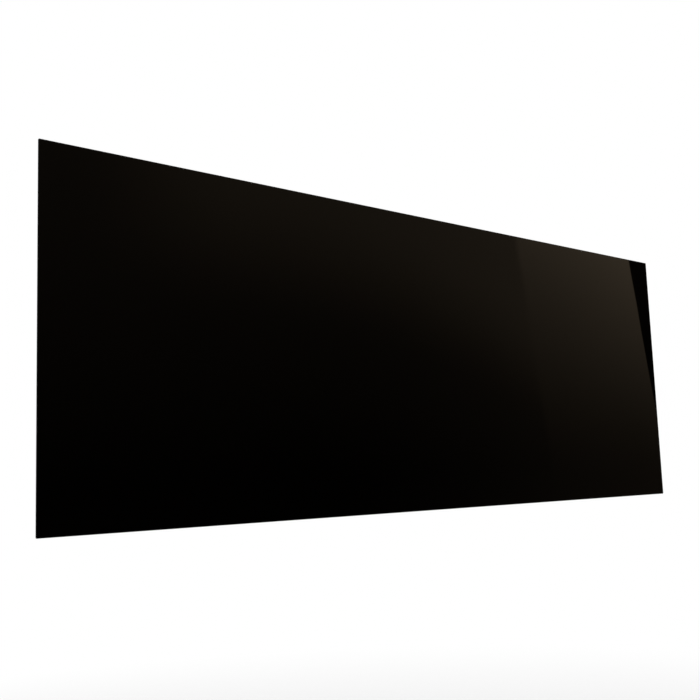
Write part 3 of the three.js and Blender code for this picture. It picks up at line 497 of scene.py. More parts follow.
panShape = Sizes(
    sheet=1.5,
    path=[(12, 1.5), (26, 1.5), (32, 22), (66, 25), (76, 44), (81.5, 44)],  # inset, depth behind the rim
    fillets=[2.5, 5, 5, 7],
    corners=([12, 26, 76], [7.5, 30, 22]),  # corner radius at these insets
    field=(318, 66.5),  # half the flat field that holds the louvres
    screwHole=2.8, leadHole=6.3,
)
louvreShape = Sizes(
    height=9.0, rise=4.6, pitch=20.0, rows=7, steps=10,
    end=6.5, endSteps=8,  # a hood grows in over this length
    banks=[(-314.0, -226.05), (-204.05, -116.1)],
    besideBox=14, lastEnd=314.0,  # the third bank starts this far beside the terminal box
)
rimFront = span("rear_housing", "y")[0]
plateau = rimFront + panShape.path[-1][1]
yokeScrewPlaces = [(side * 63.2, up * 31.0) for side in (1, -1) for up in (1, -1)]


def louvreField(pan, s):
    # height above the field = rise x sin(quarter turn x share of the height)^1.4 x sin(quarter turn x
    # distance from the hood's end / end)^1.2; the row at each slit is doubled, and no face joins its copies
    banks = [*s.banks, (span("terminal_box", "x")[1] + s.besideBox, s.lastEnd)]
    fieldX, fieldZ = pan.field
    near = s.end * np.linspace(0, 1, s.endSteps) ** 1.3
    columns = [np.linspace(-fieldX, fieldX, 41)]
    for start, end in banks:
        columns += [start + near, end - near, np.linspace(start + s.end, end - s.end, 9)]
    x = np.unique(np.round(np.concatenate(columns), 3))
    fromEnd = np.max([np.minimum(x - start, end - x) for start, end in banks], axis=0)
    grown = np.sin(np.pi / 2 * np.clip(fromEnd / s.end, 0, 1)) ** 1.2
    share = np.linspace(0, 1, s.steps + 1)
    tops = (np.arange(s.rows) - (s.rows - 1) / 2)[::-1] * s.pitch + s.height / 2
    z, rise, slit = [fieldZ], [0.0], []
    for top in tops:
        z += [*(top - s.height * share), top - s.height]
        rise += [*(s.rise * np.sin(np.pi / 2 * share) ** 1.4), 0.0]
        slit.append(len(z) - 2)
    z, rise = np.array([*z, -fieldZ]), np.array([*rise, 0.0])
    points = np.stack(np.broadcast_arrays(x[None], plateau + rise[:, None] * grown[None], z[:, None]), -1)
    faces = np.array(gridFaces(len(z), len(x))).reshape(len(z) - 1, len(x) - 1, 4)
    return points, np.delete(faces, slit, axis=0).reshape(-1, 4).tolist()


def flatBetween(ring, field, half):
    # triangles over the flat between the pan's last ring and the louvre field
    edge = np.vstack([field[0, :-1], field[:-1, -1], field[-1, :0:-1], field[:0:-1, 0]])[:, [0, 2]]
    edge = edge[np.r_[True, np.linalg.norm(np.diff(edge, axis=0), axis=1) > 1e-6]]
    points = np.vstack([ring[:, [0, 2]], edge])
    bounds = [(i, (i + 1) % len(ring)) for i in range(len(ring))]
    bounds += [(len(ring) + i, len(ring) + (i + 1) % len(edge)) for i in range(len(edge))]
    flat = delaunay_2d_cdt([Vector(p) for p in points], bounds, [], 1, 1e-6)
    where = np.array([tuple(p) for p in flat[0]])
    outside = [face for face in flat[2] if np.any(np.abs(where[face].mean(0)) > half)]
    return np.column_stack([where[:, 0], np.full(len(where), plateau), where[:, 1]]), outside


def makeHousing(s):
    path = filleted(s.path, s.fillets, 7)
    profile = np.column_stack([path[:, 0], rimFront + path[:, 1], np.interp(path[:, 0], *s.corners)])
    wall = framed(profile, steps=14)
    field, fieldFaces = louvreField(s, louvreShape)
    sheet = together([meshOf(wall, gridFaces(*wall.shape[:2], False, True)), meshOf(field, fieldFaces),
                      meshOf(*flatBetween(wall[-1], field, s.field))])
    if sum(face.normal.y * face.area for face in sheet.polygons) < 0:
        sheet.flip_normals()  # the sheet's thickness goes on its inside
    thicker = {"thickness": s.sheet / perMetre, "offset": -1, "use_even_offset": True}
    shell = applied(sheet, [("SOLIDIFY", thicker)])
    floor = plateau - 2 * s.sheet
    cuts = holes("y", yokeScrewPlaces, s.screwHole, floor, plateau + 1, 24)
    cuts += holes("y", [(*centreOf("terminal_box", "x"), 0)], s.leadHole, floor, plateau + 1)
    cuts += holes("y", rimScrewPlaces, rimScrewSet.hole, rimFront, rimFront + 2, 16)
    addPiece(worked(shell, ("DIFFERENCE", cuts)), "rear_housing", sharp=40)


makeHousing(panShape)
print("rear housing made")


# fasteners: hexagon bolts and nuts, button-head screws, washers

hexShape = Sizes(corner=0.58, flat=0.49, cone=0.055)  # radii and cone depth, by the distance across


def hexRows(start, end, across):
    # a hexagon between two places, its corners taken off by a 30 degree cone at the end
    depth, corner, flat = (hexShape[part] * across for part in ("cone", "corner", "flat"))
    cone = [(end - depth * (1 - k), corner + (flat - corner) * k, across) for k in np.linspace(0, 1, 4)]
    return [(start, 0.6 * across, across), *cone]


def bothWays(half):
    # rows from the middle to one end, mirrored to the other end
    middle = half[0][0]
    return [(2 * middle - row[0], *row[1:]) for row in half[:0:-1]] + half


def threadRows(start, end, s):
    # a thread between two places, fading in over the first turn
    place = np.linspace(start, end, int(abs(end - start) / s.pitch * 6) + 2)
    grown = np.clip(np.abs(place - start) / s.pitch, 0, 1)
    return [(p, s.radius - s.thread * (1 - g), 0, s.thread * g) for p, g in zip(place, grown)]


def headRows(end, s):
    # from the seat up: the collar's rows, then the hexagon with its dished top
    seat, (drop, rim, dish) = end - s.head, s.top
    collar = [(seat + up, radius) for up, radius in s.collar]
    return [(seat, s.radius), *collar, *hexRows(collar[-1][0], end - drop, s.across),
            (end, rim * s.across), (end, dish * s.across)]


def bored(rows, bore, ease=0.3):
    # closes a row of rings into a tube with an eased bore
    start, end = rows[0][0], rows[-1][0]
    return [*rows, (end, bore + ease), (end - ease, bore), (start + ease, bore), (start, bore + ease)]


def addTurned(node, axis, rows, closed=False, sharp=28, **turning):
    # a turned piece, about the middle of the node that it stands for
    at = centreOf(node, "xyz".replace(axis, ""))
    addPiece(spun(axis, at, rows, closed, **turning), node, sharp=sharp)


def addNut(node, axis, across, bore, ease=0.3):
    start, end = span(node, axis)
    rows = bothWays(hexRows((start + end) / 2, end, across))
    addTurned(node, axis, bored(rows, bore, ease), True)


boltSet = Sizes(
    pivot=Sizes(radius=4.0, across=13.0, head=5.5, pitch=1.25, thread=0.65, threaded=10.5,
              collar=[(0, 6.11), (0.4, 6.11)], top=(0.25, 0.42, 0.3)),
    lock=Sizes(radius=3.0, across=10.0, head=4.0, pitch=1.0, thread=0.55, threaded=9.0,
             collar=[(0, 6.7), (0.2, 6.9), (0.8, 6.9), (1.6, 5.5)], top=(0.25, 0.42, 0.3)),
)
washerSet = Sizes(pivot=8.4, friction=13.0, bore=4.3, ease=0.3)
yokeScrewSet = Sizes(radius=2.5, across=8.0, head=3.5, tip=0.6,
                collar=[(0, 4.4), (0.25, 4.6), (0.6, 4.6), (1.1, 4.48)], top=(0.2, 0.4, 0.3))
coverScrewSet = Sizes(radius=2.0, head=3.8, rise=2.4, socket=2.5)


def makeBolt(kind, hand, s):
    # worked out as for the right hand and mirrored for the left
    node, side = f"{kind}_bolt_{hand}", 1 if hand == "right" else -1
    tip, end = sorted(abs(x) for x in span(node, "x"))
    shank = tip + s.threaded
    rows = [(tip, s.radius - s.thread - 0.3), *threadRows(tip + 0.3, shank, s),
            (shank + 0.6, s.radius), *headRows(end, s)]
    rows = [(side * place, *row) for place, *row in rows]
    addTurned(node, "x", rows, pitch=s.pitch)


def makeWasher(kind, hand, s):
    node, radius, ease = f"{kind}_washer_{hand}", s[kind], s.ease
    start, end = span(node, "x")
    rows = [(start, radius - ease), (start + ease, radius), (end - ease, radius), (end, radius - ease)]
    addTurned(node, "x", bored(rows, s.bore, ease), True, sides=64)


def makeYokeScrew(node, s):
    tip, end = span(node, "y")
    addTurned(node, "y", [(tip, s.radius - s.tip), (tip + s.tip, s.radius), *headRows(end, s)])


def buttonScrew(at, seat, tip, s, **piece):
    # a domed head with a hexagon socket: dome = head radius x cos(angle), rise x sin(angle)
    dome = [(seat + 0.4 + (s.rise - 0.4) * math.sin(a), s.head * math.cos(a))
            for a in np.radians([0, 14, 28, 42, 54])]
    top = dome[-1][0]
    rows = [(tip, s.radius - 0.5), (tip + 0.5, s.radius), (seat, s.radius), (seat, s.head - 0.15),
            *dome, (top, s.socket * 0.62), (top, 9, s.socket), (top - 0.55 * s.rise, 9, s.socket)]
    addPiece(spun("y", at, rows), sharp=28, **piece)


for hand in ("right", "left"):
    for kind, s in boltSet.items():
        makeBolt(kind, hand, s)
        addNut(f"{kind}_nut_{hand}", "x", s.across, s.radius + 0.05, 0.5)
    makeWasher("pivot", hand, washerSet)
    makeWasher("friction", hand, washerSet)
for i in range(1, 5):
    makeYokeScrew(f"yoke_screw_{i}", yokeScrewSet)
    node = f"cover_screw_{i}"
    tip, end = span(node, "y")
    buttonScrew(centreOf(node, "xz"), end - coverScrewSet.rise, tip, coverScrewSet, node=node)
tip, seat = span("carrier_frame", "y")[0] + 0.1, rimFront + panShape.sheet + 0.05
for i, place in enumerate(rimScrewPlaces, 1):
    buttonScrew(place, seat, tip, rimScrewSet, name=f"rimScrew_{i}", slot="steel")
print("fasteners made")


# wall bracket and yoke: cut and bent sheet

bracketShape = Sizes(
    half=87.0, web=62.0, tail=-16.0, sheet=3.0, bend=6.0, height=112.0,
    nose=16.0, foot=1.0, edge=0.35, pivotHole=4.3,
    arcRadius=34.0, arcHalfWidth=3.3, arcReach=20.0, wallSlot=(18.0, 8.0), slotAt=(66.0, 38.4),
)
yokeShape = Sizes(
    half=82.2, web=-19.9, tail=40.95, sheet=3.0, bend=6.0, height=86.0,
    nose=16.0, foot=1.0, edge=0.35, pivotHole=4.3,
    lock=(31.95, -11.63), lockNose=9.0, lockHole=3.3, screwHole=2.8,
)


def makeChannel(node, s, circles, cuts, body="heater"):
    # a U of bent sheet, seen from above as an outside and an inside path; seen from the side its ears are
    # the outline round the pivot, the web's two corners and any further circles
    half, web, tail, bend = s.half, s.web, s.tail, s.bend
    inward = math.copysign(1, tail - web)
    inner, floor, insideBend = half - s.sheet, web + inward * s.sheet, bend - s.sheet
    outside = filleted([(-half, tail), (-half, web), (half, web), (half, tail)], [bend] * 2, 10)
    inside = filleted([(inner, tail), (inner, floor), (-inner, floor), (-inner, tail)], [insideBend] * 2, 10)
    base = prism(np.vstack([outside, inside]), "z", -s.height / 2, s.height / 2)
    feet = [(web + inward * s.foot, side * (s.height / 2 - s.foot), s.foot) for side in (1, -1)]
    ears = prism(outlineRound([*feet, (0, 0, s.nose), *circles]), "x", -half - 1, half + 1)
    cuts = holes("x", [(0, 0)], s.pivotHole, -half, half) + cuts
    addPiece(worked(base, ("INTERSECT", [ears]), ("DIFFERENCE", cuts)), node, body=body, edge=s.edge)


def makeBracket(s):
    radius, width, turn, past = s.arcRadius, s.arcHalfWidth, s.arcReach, s.half + 1
    top, bottom = arc((0, 0), radius, turn, -turn, 1)
    ways = [arc((0, 0), radius + width, -turn, turn, 24), arc(top, width, turn, turn + 180, 12),
            arc((0, 0), radius - width, turn, -turn, 24), arc(bottom, width, 180 - turn, 360 - turn, 12)]
    cuts = [prism(np.vstack(ways), "x", -past, past)]
    for x, z in ((1, 1), (1, -1), (-1, 1), (-1, -1)):
        outline = slotOutline((x * s.slotAt[0], z * s.slotAt[1]), *s.wallSlot)
        cuts.append(prism(outline, "y", s.web - s.sheet - 1, s.web + 1))
    makeChannel("wall_bracket", s, [], cuts, "wall")


def makeYoke(s):
    cuts = holes("x", [s.lock], s.lockHole, -s.half, s.half)
    cuts += holes("y", yokeScrewPlaces, s.screwHole, s.web, s.web + s.sheet, 24)
    makeChannel("yoke", s, [(*s.lock, s.lockNose)], cuts)


makeBracket(bracketShape)
makeYoke(yokeShape)
print("wall bracket and yoke made")


# terminal box, gasket, cover and cable gland

boxShape = Sizes(
    corner=9.0, leastCorner=2.0, edge=2.0, wall=2.5, cove=1.5,
    boss=4.2, bossAt=(42.3, 31.3), screwHole=2.3, screwDepth=18.0, leadHole=6.3, glandHole=8.3,
    coverEdge=1.2, coverEase=0.3, gasketWidth=3.0, gasketBulge=0.15,
)
boxX, boxHalf = centreOf("terminal_box", "x")[0], [halfSize("terminal_box", axis) for axis in "xz"]
bossPlaces = [(boxX + u * boxShape.bossAt[0], v * boxShape.bossAt[1]) for u in (1, -1) for v in (1, -1)]


def boxSkin(rows, closed, s):
    # rows of (inset, y) carried round the box, with corners that shrink as the inset grows
    profile = [(inset, y, max(s.corner - inset, s.leastCorner)) for inset, y in rows]
    return skin(framed(profile, boxHalf, boxX), closed)


def bosses(start, end, s):
    return [rod("y", at, s.boss, start, end, 32) for at in bossPlaces]


def makeBox(s):
    (front, rim), low = span("terminal_box", "y"), span("terminal_box", "z")[0]
    wall, edge, cove, floor = s.wall, s.edge, s.cove, front + s.wall
    rows = [*arc((edge, front + edge), edge, 270, 180, 6), (0, rim), (wall, rim),
            *arc((wall + cove, floor + cove), cove, 180, 270, 4)]
    cuts = holes("y", bossPlaces, s.screwHole, rim - s.screwDepth, rim + 5, 24)
    cuts += holes("y", [(boxX, 0)], s.leadHole, front, floor)
    cuts += holes("z", [centreOf("gland_nut", "xy")], s.glandHole, low, low + wall)
    mesh = worked(boxSkin(rows, False, s), ("UNION", bosses(front + wall / 2, rim, s)), ("DIFFERENCE", cuts))
    addPiece(mesh, "terminal_box", edge=0.3, sharp=40)

    start, end = span("box_gasket", "y")
    bulge, width = s.gasketBulge, s.gasketWidth
    rows = [(bulge, start), (0, (start + end) / 2), (bulge, end), (width, end), (width, start)]
    cuts = holes("y", bossPlaces, s.screwHole, start, end, 24)
    mesh = worked(boxSkin(rows, True, s), ("UNION", bosses(start, end, s)), ("DIFFERENCE", cuts))
    addPiece(mesh, "box_gasket")

    start, end = span("box_cover", "y")
    edge, ease = s.coverEdge, s.coverEase
    rows = [(ease, start), (0, start + ease), *arc((edge, end - edge), edge, 180, 90, 6)]
    cuts = holes("y", bossPlaces, s.screwHole, start, end, 24)
    addPiece(worked(boxSkin(rows, False, s), ("DIFFERENCE", cuts)), "box_cover", sharp=40)


glandShape = Sizes(
    across=20.0, radius=8.0, pitch=1.5, thread=0.7, bore=5.6, hexHeight=5.0,
    seat=6.6, seatFloor=1.2,  # the wide bore for the seal, and its floor above the hexagon's lower face
    sealBore=3.9, sealMouth=1.2, sealCone=2.0,
    dome=(5.2, 6.8, 10.3),  # the cap nut's round end: height, radius at its foot and at the hexagon
)


def makeGland(s):
    (tail, top), (low, cap), (foot, head) = (span(f"gland_{part}", "z") for part in ("body", "nut", "seal"))
    across, bore, root = s.across, s.bore, s.radius - s.thread
    hexTop = span("terminal_box", "z")[0] - 0.1
    hexLow = hexTop - s.hexHeight
    seatTop = hexLow + s.seatFloor
    rows = [(tail, root), *threadRows(tail + 0.3, hexLow - 0.3, s), (hexLow, root),
            (hexLow, 0.49 * across, across), (hexLow + 0.9, 0.6 * across, across),
            *hexRows(hexTop - 2, hexTop, across), (hexTop, root),
            *threadRows(top - 0.3, hexTop + 0.3, s)[::-1], (top, root), (top, bore + 0.4), (top - 0.4, bore),
            (seatTop + 0.1, bore), (seatTop, s.seat), (tail, s.seat)]
    addTurned("gland_body", "z", rows, True, 40, pitch=s.pitch)

    wide, narrow = s.seat - 0.1, s.sealBore
    rows = [(foot, wide - 0.5), (foot + 0.5, wide), (head - 0.5, wide), (head, wide - 0.5),
            (head, narrow + 0.3), (head - 0.3, narrow), (foot + s.sealCone, narrow),
            (foot, narrow + s.sealMouth)]
    addTurned("gland_seal", "z", rows, True, 40)

    height, start, end = s.dome
    dome = arc((0, 0), 1, 0, 90, 5)[:, ::-1] * (height, start - end) + (low, end)
    rows = [(low, bore + 0.3), (low, start - 0.8), *dome, (low + height + 0.4, 0.6 * across, across),
            *hexRows(cap - 3, cap, across), (cap, s.radius + 0.4), (tail - 0.1, s.radius + 0.3),
            (tail - 0.1, bore), (low + 0.3, bore)]
    addTurned("gland_nut", "z", rows, True, 30)
    addNut("gland_locknut", "z", across, s.radius + 0.05)


makeBox(boxShape)
makeGland(glandShape)
print("terminal box and gland made")


# inside: double reflector, hairpin elements, insulation board and cut-out

troughShape = Sizes(depth=30.0, sheet=1.0, flange=9.0, seat=0.1, ease=0.45, ridge=2.0, steps=192)
elementShape = Sizes(
    depth=11.0, radius=4.25, pin=1.5, pinLength=12.0, hole=4.55,
    supportReach=(1.5, 1.6), supportClear=0.4,  # reach: in radii before and behind the legs' middle
)
elementY = rimFront + elementShape.depth  # depths inside the heater count from the rim's front
troughEdge = span("reflector", "z")[1] - troughShape.flange
legHalf = halfSize("element_upper", "z") - elementShape.radius
legPlaces = [trough * troughEdge / 2 + leg * legHalf for trough in (1, -1) for leg in (1, -1)]


def troughFaces(s, reach):
    # front and back of the reflector sheet as (y, z): parabola = depth x (1 - ((distance - half) / half)^2)
    # with distance = root(z^2 + ridge^2), and y = seat + ease x log(1 + exp(parabola / ease)), which rounds
    # the sheet's edges
    half = troughEdge / 2
    z = np.linspace(-reach, reach, s.steps + 1)
    parabola = s.depth * (1 - ((np.hypot(z, s.ridge) - half) / half) ** 2)
    front = np.column_stack([rimFront + s.seat + s.ease * np.logaddexp(0, parabola / s.ease), z])
    along = np.gradient(front, axis=0)
    square = np.column_stack([along[:, 1], -along[:, 0]]) / np.linalg.norm(along, axis=1)[:, None]
    return front, front + s.sheet * square


def cutPlate(node, outline, places):
    # a plate across the heater, with a hole for each leg that passes through it
    low, high = span(node, "x")
    plate = prism(outline, "x", low, high)
    if places:
        cuts = holes("x", [(elementY, z) for z in places], elementShape.hole, low, high, 32)
        plate = worked(plate, ("DIFFERENCE", cuts))
    addPiece(plate, node, edge=0.15)


def makeReflector(s):
    front, back = troughFaces(s, troughEdge + s.flange)
    addPiece(prism(np.vstack([front, back[::-1]]), "x", *span("reflector", "x")), "reflector")
    front, back = troughFaces(s, troughEdge)
    mouth = rimFront + s.seat
    outline = np.vstack([back, [(mouth, back[-1, 1]), (mouth, back[0, 1])]])
    for hand, places in (("left", []), ("right", legPlaces)):
        cutPlate(f"reflector_end_{hand}", outline, places)


def tube(path, radius, sides=24):
    # a round body along a path: place = path + radius x (cosine x side + sine x up); side is square to the
    # path and to whichever axis or diagonal the path stays furthest from, and up is square to both
    along = np.gradient(path, axis=0)
    along /= np.linalg.norm(along, axis=1)[:, None]
    ways = np.array([(1, 0, 0), (0, 1, 0), (0, 0, 1), (1, 1, 1), (1, 1, -1), (1, -1, 1), (-1, 1, 1)], float)
    ways /= np.linalg.norm(ways, axis=1)[:, None]
    side = np.cross(along, ways[np.abs(along @ ways.T).max(axis=0).argmin()])
    side /= np.linalg.norm(side, axis=1)[:, None]
    turn = np.linspace(0, 2 * np.pi, sides, endpoint=False)[None, :, None]
    ring = np.cos(turn) * side[:, None] + np.sin(turn) * np.cross(side, along)[:, None]
    return skin(path[:, None] + radius[:, None, None] * ring, False)


def makeElement(hand, s):
    # a sheathed hairpin: contact pin, leg, half-round bend, leg, contact pin
    node, full = f"element_{hand}", s.radius
    left, pinEnd = span(node, "x")
    sheathEnd, bendX = pinEnd - s.pinLength, left + full + legHalf
    leg = [(pinEnd, s.pin - 0.4), (pinEnd - 0.4, s.pin), (sheathEnd, s.pin),
           (sheathEnd - 0.01, full - 0.5), (sheathEnd - 0.5, full)]
    leg += [(x, full) for x in np.linspace(sheathEnd - 20, bendX, 8)]
    legX, legRadius = np.array(leg).T
    turn = np.radians(np.linspace(0, 180, 33))[1:-1]
    x = np.concatenate([legX, bendX - legHalf * np.sin(turn), legX[::-1]])
    across = np.concatenate([np.ones(len(leg)), np.cos(turn), -np.ones(len(leg))])
    z = centreOf(node, "z")[0] + legHalf * across
    radius = np.concatenate([legRadius, np.full(len(turn), full), legRadius[::-1]])
    path = np.column_stack([x, np.full(len(x), elementY), z])
    addPiece(tube(path, radius), node, sharp=50)


def makeFixings(hand, trough, s):
    # the steel flange behind the right end plate, and the two strips, cut to the parabola, that carry the
    # legs
    middle, places = trough * troughEdge / 2, [z for z in legPlaces if z * trough > 0]
    node = f"element_flange_{hand}"
    outline = roundedOutline(halfSize(node, "y"), halfSize(node, "z"), s.radius, (elementY, middle))
    cutPlate(node, outline, places)
    before, behind = (share * s.radius for share in s.supportReach)
    depth = np.linspace(s.depth - before, s.depth + behind, 12)
    reach = troughEdge / 2 * np.sqrt(1 - depth / troughShape.depth) - s.supportClear
    edge = np.column_stack([rimFront + depth, reach])
    outline = np.vstack([edge * (1, -1), edge[::-1]]) + (0, middle)
    for side in ("right", "left"):
        cutPlate(f"element_support_{hand}_{side}", outline, places)


beadShape = Sizes(groove=0.6, slope=0.3, depth=0.5, bore=1.8)


def makeBead(node, s):
    # a ceramic bead on the contact pin, with a groove round its middle
    end, radius, middle = span(node, "x")[1], halfSize(node, "y"), centreOf(node, "x")[0]
    low, lip = radius - s.depth, middle + s.groove
    half = [(middle, low), (lip, low), (lip + s.slope, radius), (end - 0.5, radius), (end, radius - 0.5)]
    addTurned(node, "x", bored(bothWays(half), s.bore), True, 35, sides=40)


boardShape = Sizes(corner=11.0, edge=0.8, leadHole=8.0, cutoutHole=12.0)
leadShape = Sizes(radius=1.5, gap=0.3, lane=1.95)  # lane: how far above or below the middle the leads run
cutoutShape = Sizes(
    radius=8.0, flange=2.0, height=10.0, neck=(2.2, 1.8, 0.6), neckDepth=0.5,
    tabAt=4.0, tab=(0.4, 1.5, 0.3),  # half sizes and corner
)


def makeBoard(s):
    node = "insulation_board"
    front, back = span(node, "y")
    plate = prism(roundedOutline(halfSize(node, "x"), halfSize(node, "z"), s.corner), "y", front, back)
    cuts = holes("y", [(*centreOf("lead_grommet", "x"), 0)], s.leadHole, front, back)
    cuts += holes("y", [(*centreOf("thermal_cutout", "x"), 0)], s.cutoutHole, front, back)
    addPiece(worked(plate, ("DIFFERENCE", cuts)), node, edge=s.edge)


def makeCutout(s):
    # a flanged disc thermostat with two flat tabs
    node, radius, wide = "thermal_cutout", s.radius, s.radius + s.flange
    x, z = centreOf(node, "xz")
    tip, back = span(node, "y")
    front, rim = back - s.height, back - s.flange
    first, second, third = (rim - up for up in s.neck)
    rows = [(front, radius - 0.8), (front + 0.8, radius), (first, radius), (second, radius - s.neckDepth),
            (third, radius - s.neckDepth), (rim, radius), (rim, wide - 0.4), (rim + 0.4, wide),
            (back - 0.4, wide), (back, wide - 0.4)]
    tabs = [prism(roundedOutline(*s.tab, (x + side * s.tabAt, leadShape.lane)), "y", tip, front + 1)
            for side in (1, -1)]
    addPiece(worked(spun("y", (x, z), rows), ("UNION", tabs)), node, sharp=30)


makeReflector(troughShape)
for hand, trough in (("upper", 1), ("lower", -1)):
    makeElement(hand, elementShape)
    makeFixings(hand, trough, elementShape)
for i in range(1, 5):
    makeBead(f"terminal_bead_{i}", beadShape)
makeBoard(boardShape)
makeCutout(cutoutShape)
print("reflector, elements and insulation made")


# leads, grommet, terminal block and earth stud

blockShape = Sizes(
    corner=1.5, edge=0.3, pitch=13.75, well=3.4, wellDepth=7.5,
    groove=0.8, grooveDepth=3.0,  # half width and depth of the grooves between clamps
    screw=2.9, slot=(3.5, 0.4, 0.1),
)
earthShape = Sizes(radius=2.0, head=4.0, headHeight=1.6, across=7.0, pitch=0.7, thread=0.35)
grommetShape = Sizes(flange=2.0, bore=4.8, ease=0.4)


def makeGrommet(s):
    start, end = span("lead_grommet", "y")
    wide, step = halfSize("lead_grommet", "x"), start + s.flange
    neck = wide - s.flange
    rows = [(start, wide - 0.7), (start + 0.7, wide), (step - 0.3, wide), (step, wide - 0.3), (step, neck),
            (end - 0.6, neck), (end, neck - 0.6)]
    addTurned("lead_grommet", "y", bored(rows, s.bore, s.ease), True, 40)


def makeBlock(s):
    # three clamps in wells with grooves between them, each with its slotted screw
    node = "terminal_block"
    (x, z), (front, back) = centreOf(node, "xz"), span(node, "y")
    outline = roundedOutline(halfSize(node, "x"), halfSize(node, "z"), s.corner, (x, z))
    floor, clamps = back - s.wellDepth, [(x + k * s.pitch, z) for k in (-1, 0, 1)]
    wells = [rod("y", at, s.well, floor, back + 1, 32) for at in clamps]
    grooves = [prism(roundedOutline(s.groove, 2 * s.pitch, 0.3, (x + k * s.pitch / 2, z)), "y",
                     back - s.grooveDepth, back + 1) for k in (-1, 1)]
    base = prism(outline, "y", front, back)
    addPiece(worked(base, ("DIFFERENCE", wells), ("DIFFERENCE", grooves)), node, edge=s.edge)
    rows = [(floor + up, s.screw - less) for up, less in ((0.1, 0.2), (0.3, 0), (1.9, 0), (2.3, 0.5))]
    for number, at in enumerate(clamps, 1):
        slot = prism(roundedOutline(*s.slot, at), "y", floor + 1.3, floor + 3)
        head = worked(spun("y", at, rows, sides=32), ("DIFFERENCE", [slot]))
        addPiece(head, name=f"terminalScrew_{number}", slot="brass", sharp=30)


def makeEarth(s):
    start, end = span("earth_stud", "y")
    collar, head, root = start + s.headHeight, s.head, s.radius - s.thread
    rows = [(start, head - 0.3), (start + 0.3, head), (collar - 0.3, head), (collar, head - 0.3),
            (collar, root), *threadRows(collar + 0.1, end - 0.3, s), (end, root - 0.3)]
    addTurned("earth_stud", "y", rows, pitch=s.pitch)
    addNut("earth_nut", "y", s.across, s.radius + 0.1)


def smoothCurve(places, steps=12):
    # a centripetal curve through the places: its knots are spaced by the root of the distances, and each
    # stretch is three rounds of blends between four neighbouring places
    points = np.asarray(places, float)
    points = np.vstack([2 * points[0] - points[1], points, 2 * points[-1] - points[-2]])
    knots = np.r_[0, np.cumsum(np.sqrt(np.linalg.norm(np.diff(points, axis=0), axis=1)))]
    p = [points[i:len(points) - 3 + i, None] for i in range(4)]
    k = [knots[i:len(knots) - 3 + i, None] for i in range(4)]
    t = k[1] + (k[2] - k[1]) * np.linspace(0, 1, steps, endpoint=False)[None]

    def blend(a, b, low, high):
        w = ((t - low) / (high - low))[..., None]
        return (1 - w) * a + w * b

    first = [blend(p[i], p[i + 1], k[i], k[i + 1]) for i in range(3)]
    second = [blend(first[i], first[i + 1], k[i], k[i + 2]) for i in range(2)]
    return np.vstack([blend(*second, k[1], k[2]).reshape(-1, 3), points[-2:-1]])


def leadRoutes(s):
    # places listed along each lead
    r, gap, lane = s.radius, s.gap, s.lane
    start, channelY = span("element_upper", "x")[1] + gap, rimFront + troughShape.depth / 2
    reflectorEnd, boardFront = span("reflector", "x")[1], span("insulation_board", "y")[0]
    inBox, blockLow = span("terminal_box", "y")[0] + boxShape.wall, span("terminal_block", "z")[0]
    clampY = inBox + 5 * r
    cutoutX, tabEnd = centreOf("thermal_cutout", "x")[0], span("thermal_cutout", "y")[0] - gap
    (studX, studZ), studTip = centreOf("earth_stud", "xz"), span("earth_stud", "y")[1] + gap
    tab, clamp, bow = cutoutShape.tabAt, blockShape.pitch, elementY - 4 * r
    upper, innerUpper, innerLower, lower = legPlaces

    def fromPin(z, way):
        return [(start, elementY, z), (start + 2 * r, elementY, z), (start + 4 * r, elementY + r, 0.85 * z),
                (start + 4 * r, channelY, z / 2), (start, channelY, 3 * way), (reflectorEnd, channelY, way)]

    def intoBox(way, across):
        return [(boxX + 16 * r, channelY, way), (boxX + 4 * r, channelY + r, way), (boxX, boardFront, way),
                (boxX, plateau, way), (boxX + across / 4, inBox + 2 * r, way),
                (boxX + across, clampY, blockLow - 3 * r), (boxX + across, clampY, blockLow - gap)]

    def byTab(x, run):
        return [(x, tabEnd, lane), (x, tabEnd - 3 * r, lane), (x + run, channelY, lane)]

    return {
        "lead_live": byTab(cutoutX - tab, -4 * r) + intoBox(lane, clamp),
        "lead_switched": byTab(cutoutX + tab, 4 * r) + fromPin(innerUpper, lane)[::-1],
        "lead_neutral": fromPin(innerLower, -lane) + intoBox(-lane, -clamp),
        "series_link": [
            (start, elementY, upper), (start + 2 * r, elementY, upper), (start + 3 * r, bow, upper * 0.75),
            (start + 4 * r, bow, 0), (start + 3 * r, bow, lower * 0.75), (start + 2 * r, elementY, lower),
            (start, elementY, lower)],
        "lead_earth": [
            (boxX, clampY, blockLow - gap), (boxX, clampY, blockLow - 1.5 * r),
            (boxX - 3 * r, inBox + 9 * r, blockLow - 2.5 * r), (boxX - 8 * r, studTip + r, 0),
            (studX + 3 * r, studTip + 2.5 * r, studZ + 2 * r), (studX, studTip + 1.5 * r, studZ),
            (studX, studTip, studZ)],
    }


def makeLeads(s):
    for node, places in leadRoutes(s).items():
        path = smoothCurve(places)
        radius = np.full(len(path), s.radius)
        radius[[0, -1]] -= 0.3
        addPiece(tube(path, radius, 16), node, sharp=60)


makeGrommet(grommetShape)
makeBlock(blockShape)
makeEarth(earthShape)
makeLeads(leadShape)
print("leads, terminal block and earth stud made")


# studio: white room, pale floor, soft lamps and the dark surround that the glass mirrors

studioSet = Sizes(
    floorDrop=0.62,  # floor under the panel's lower edge
    floorHalf=60.0,
    floorTone=(0.9, 0.9, 0.9, 1), floorRough=0.9,
    floorFade=(1.0, 2.8),  # metres from the object over which the floor turns into the white room
    domeRadius=90.0,
    room=0.55,  # light of the room on the object
)
white, black = (1, 1, 1, 1), (0, 0, 0, 1)
soft = "SMOOTHSTEP"


def mathNode(tree, operation, *values):
    return addNode(tree, "Math", dict(enumerate(values)), operation=operation)


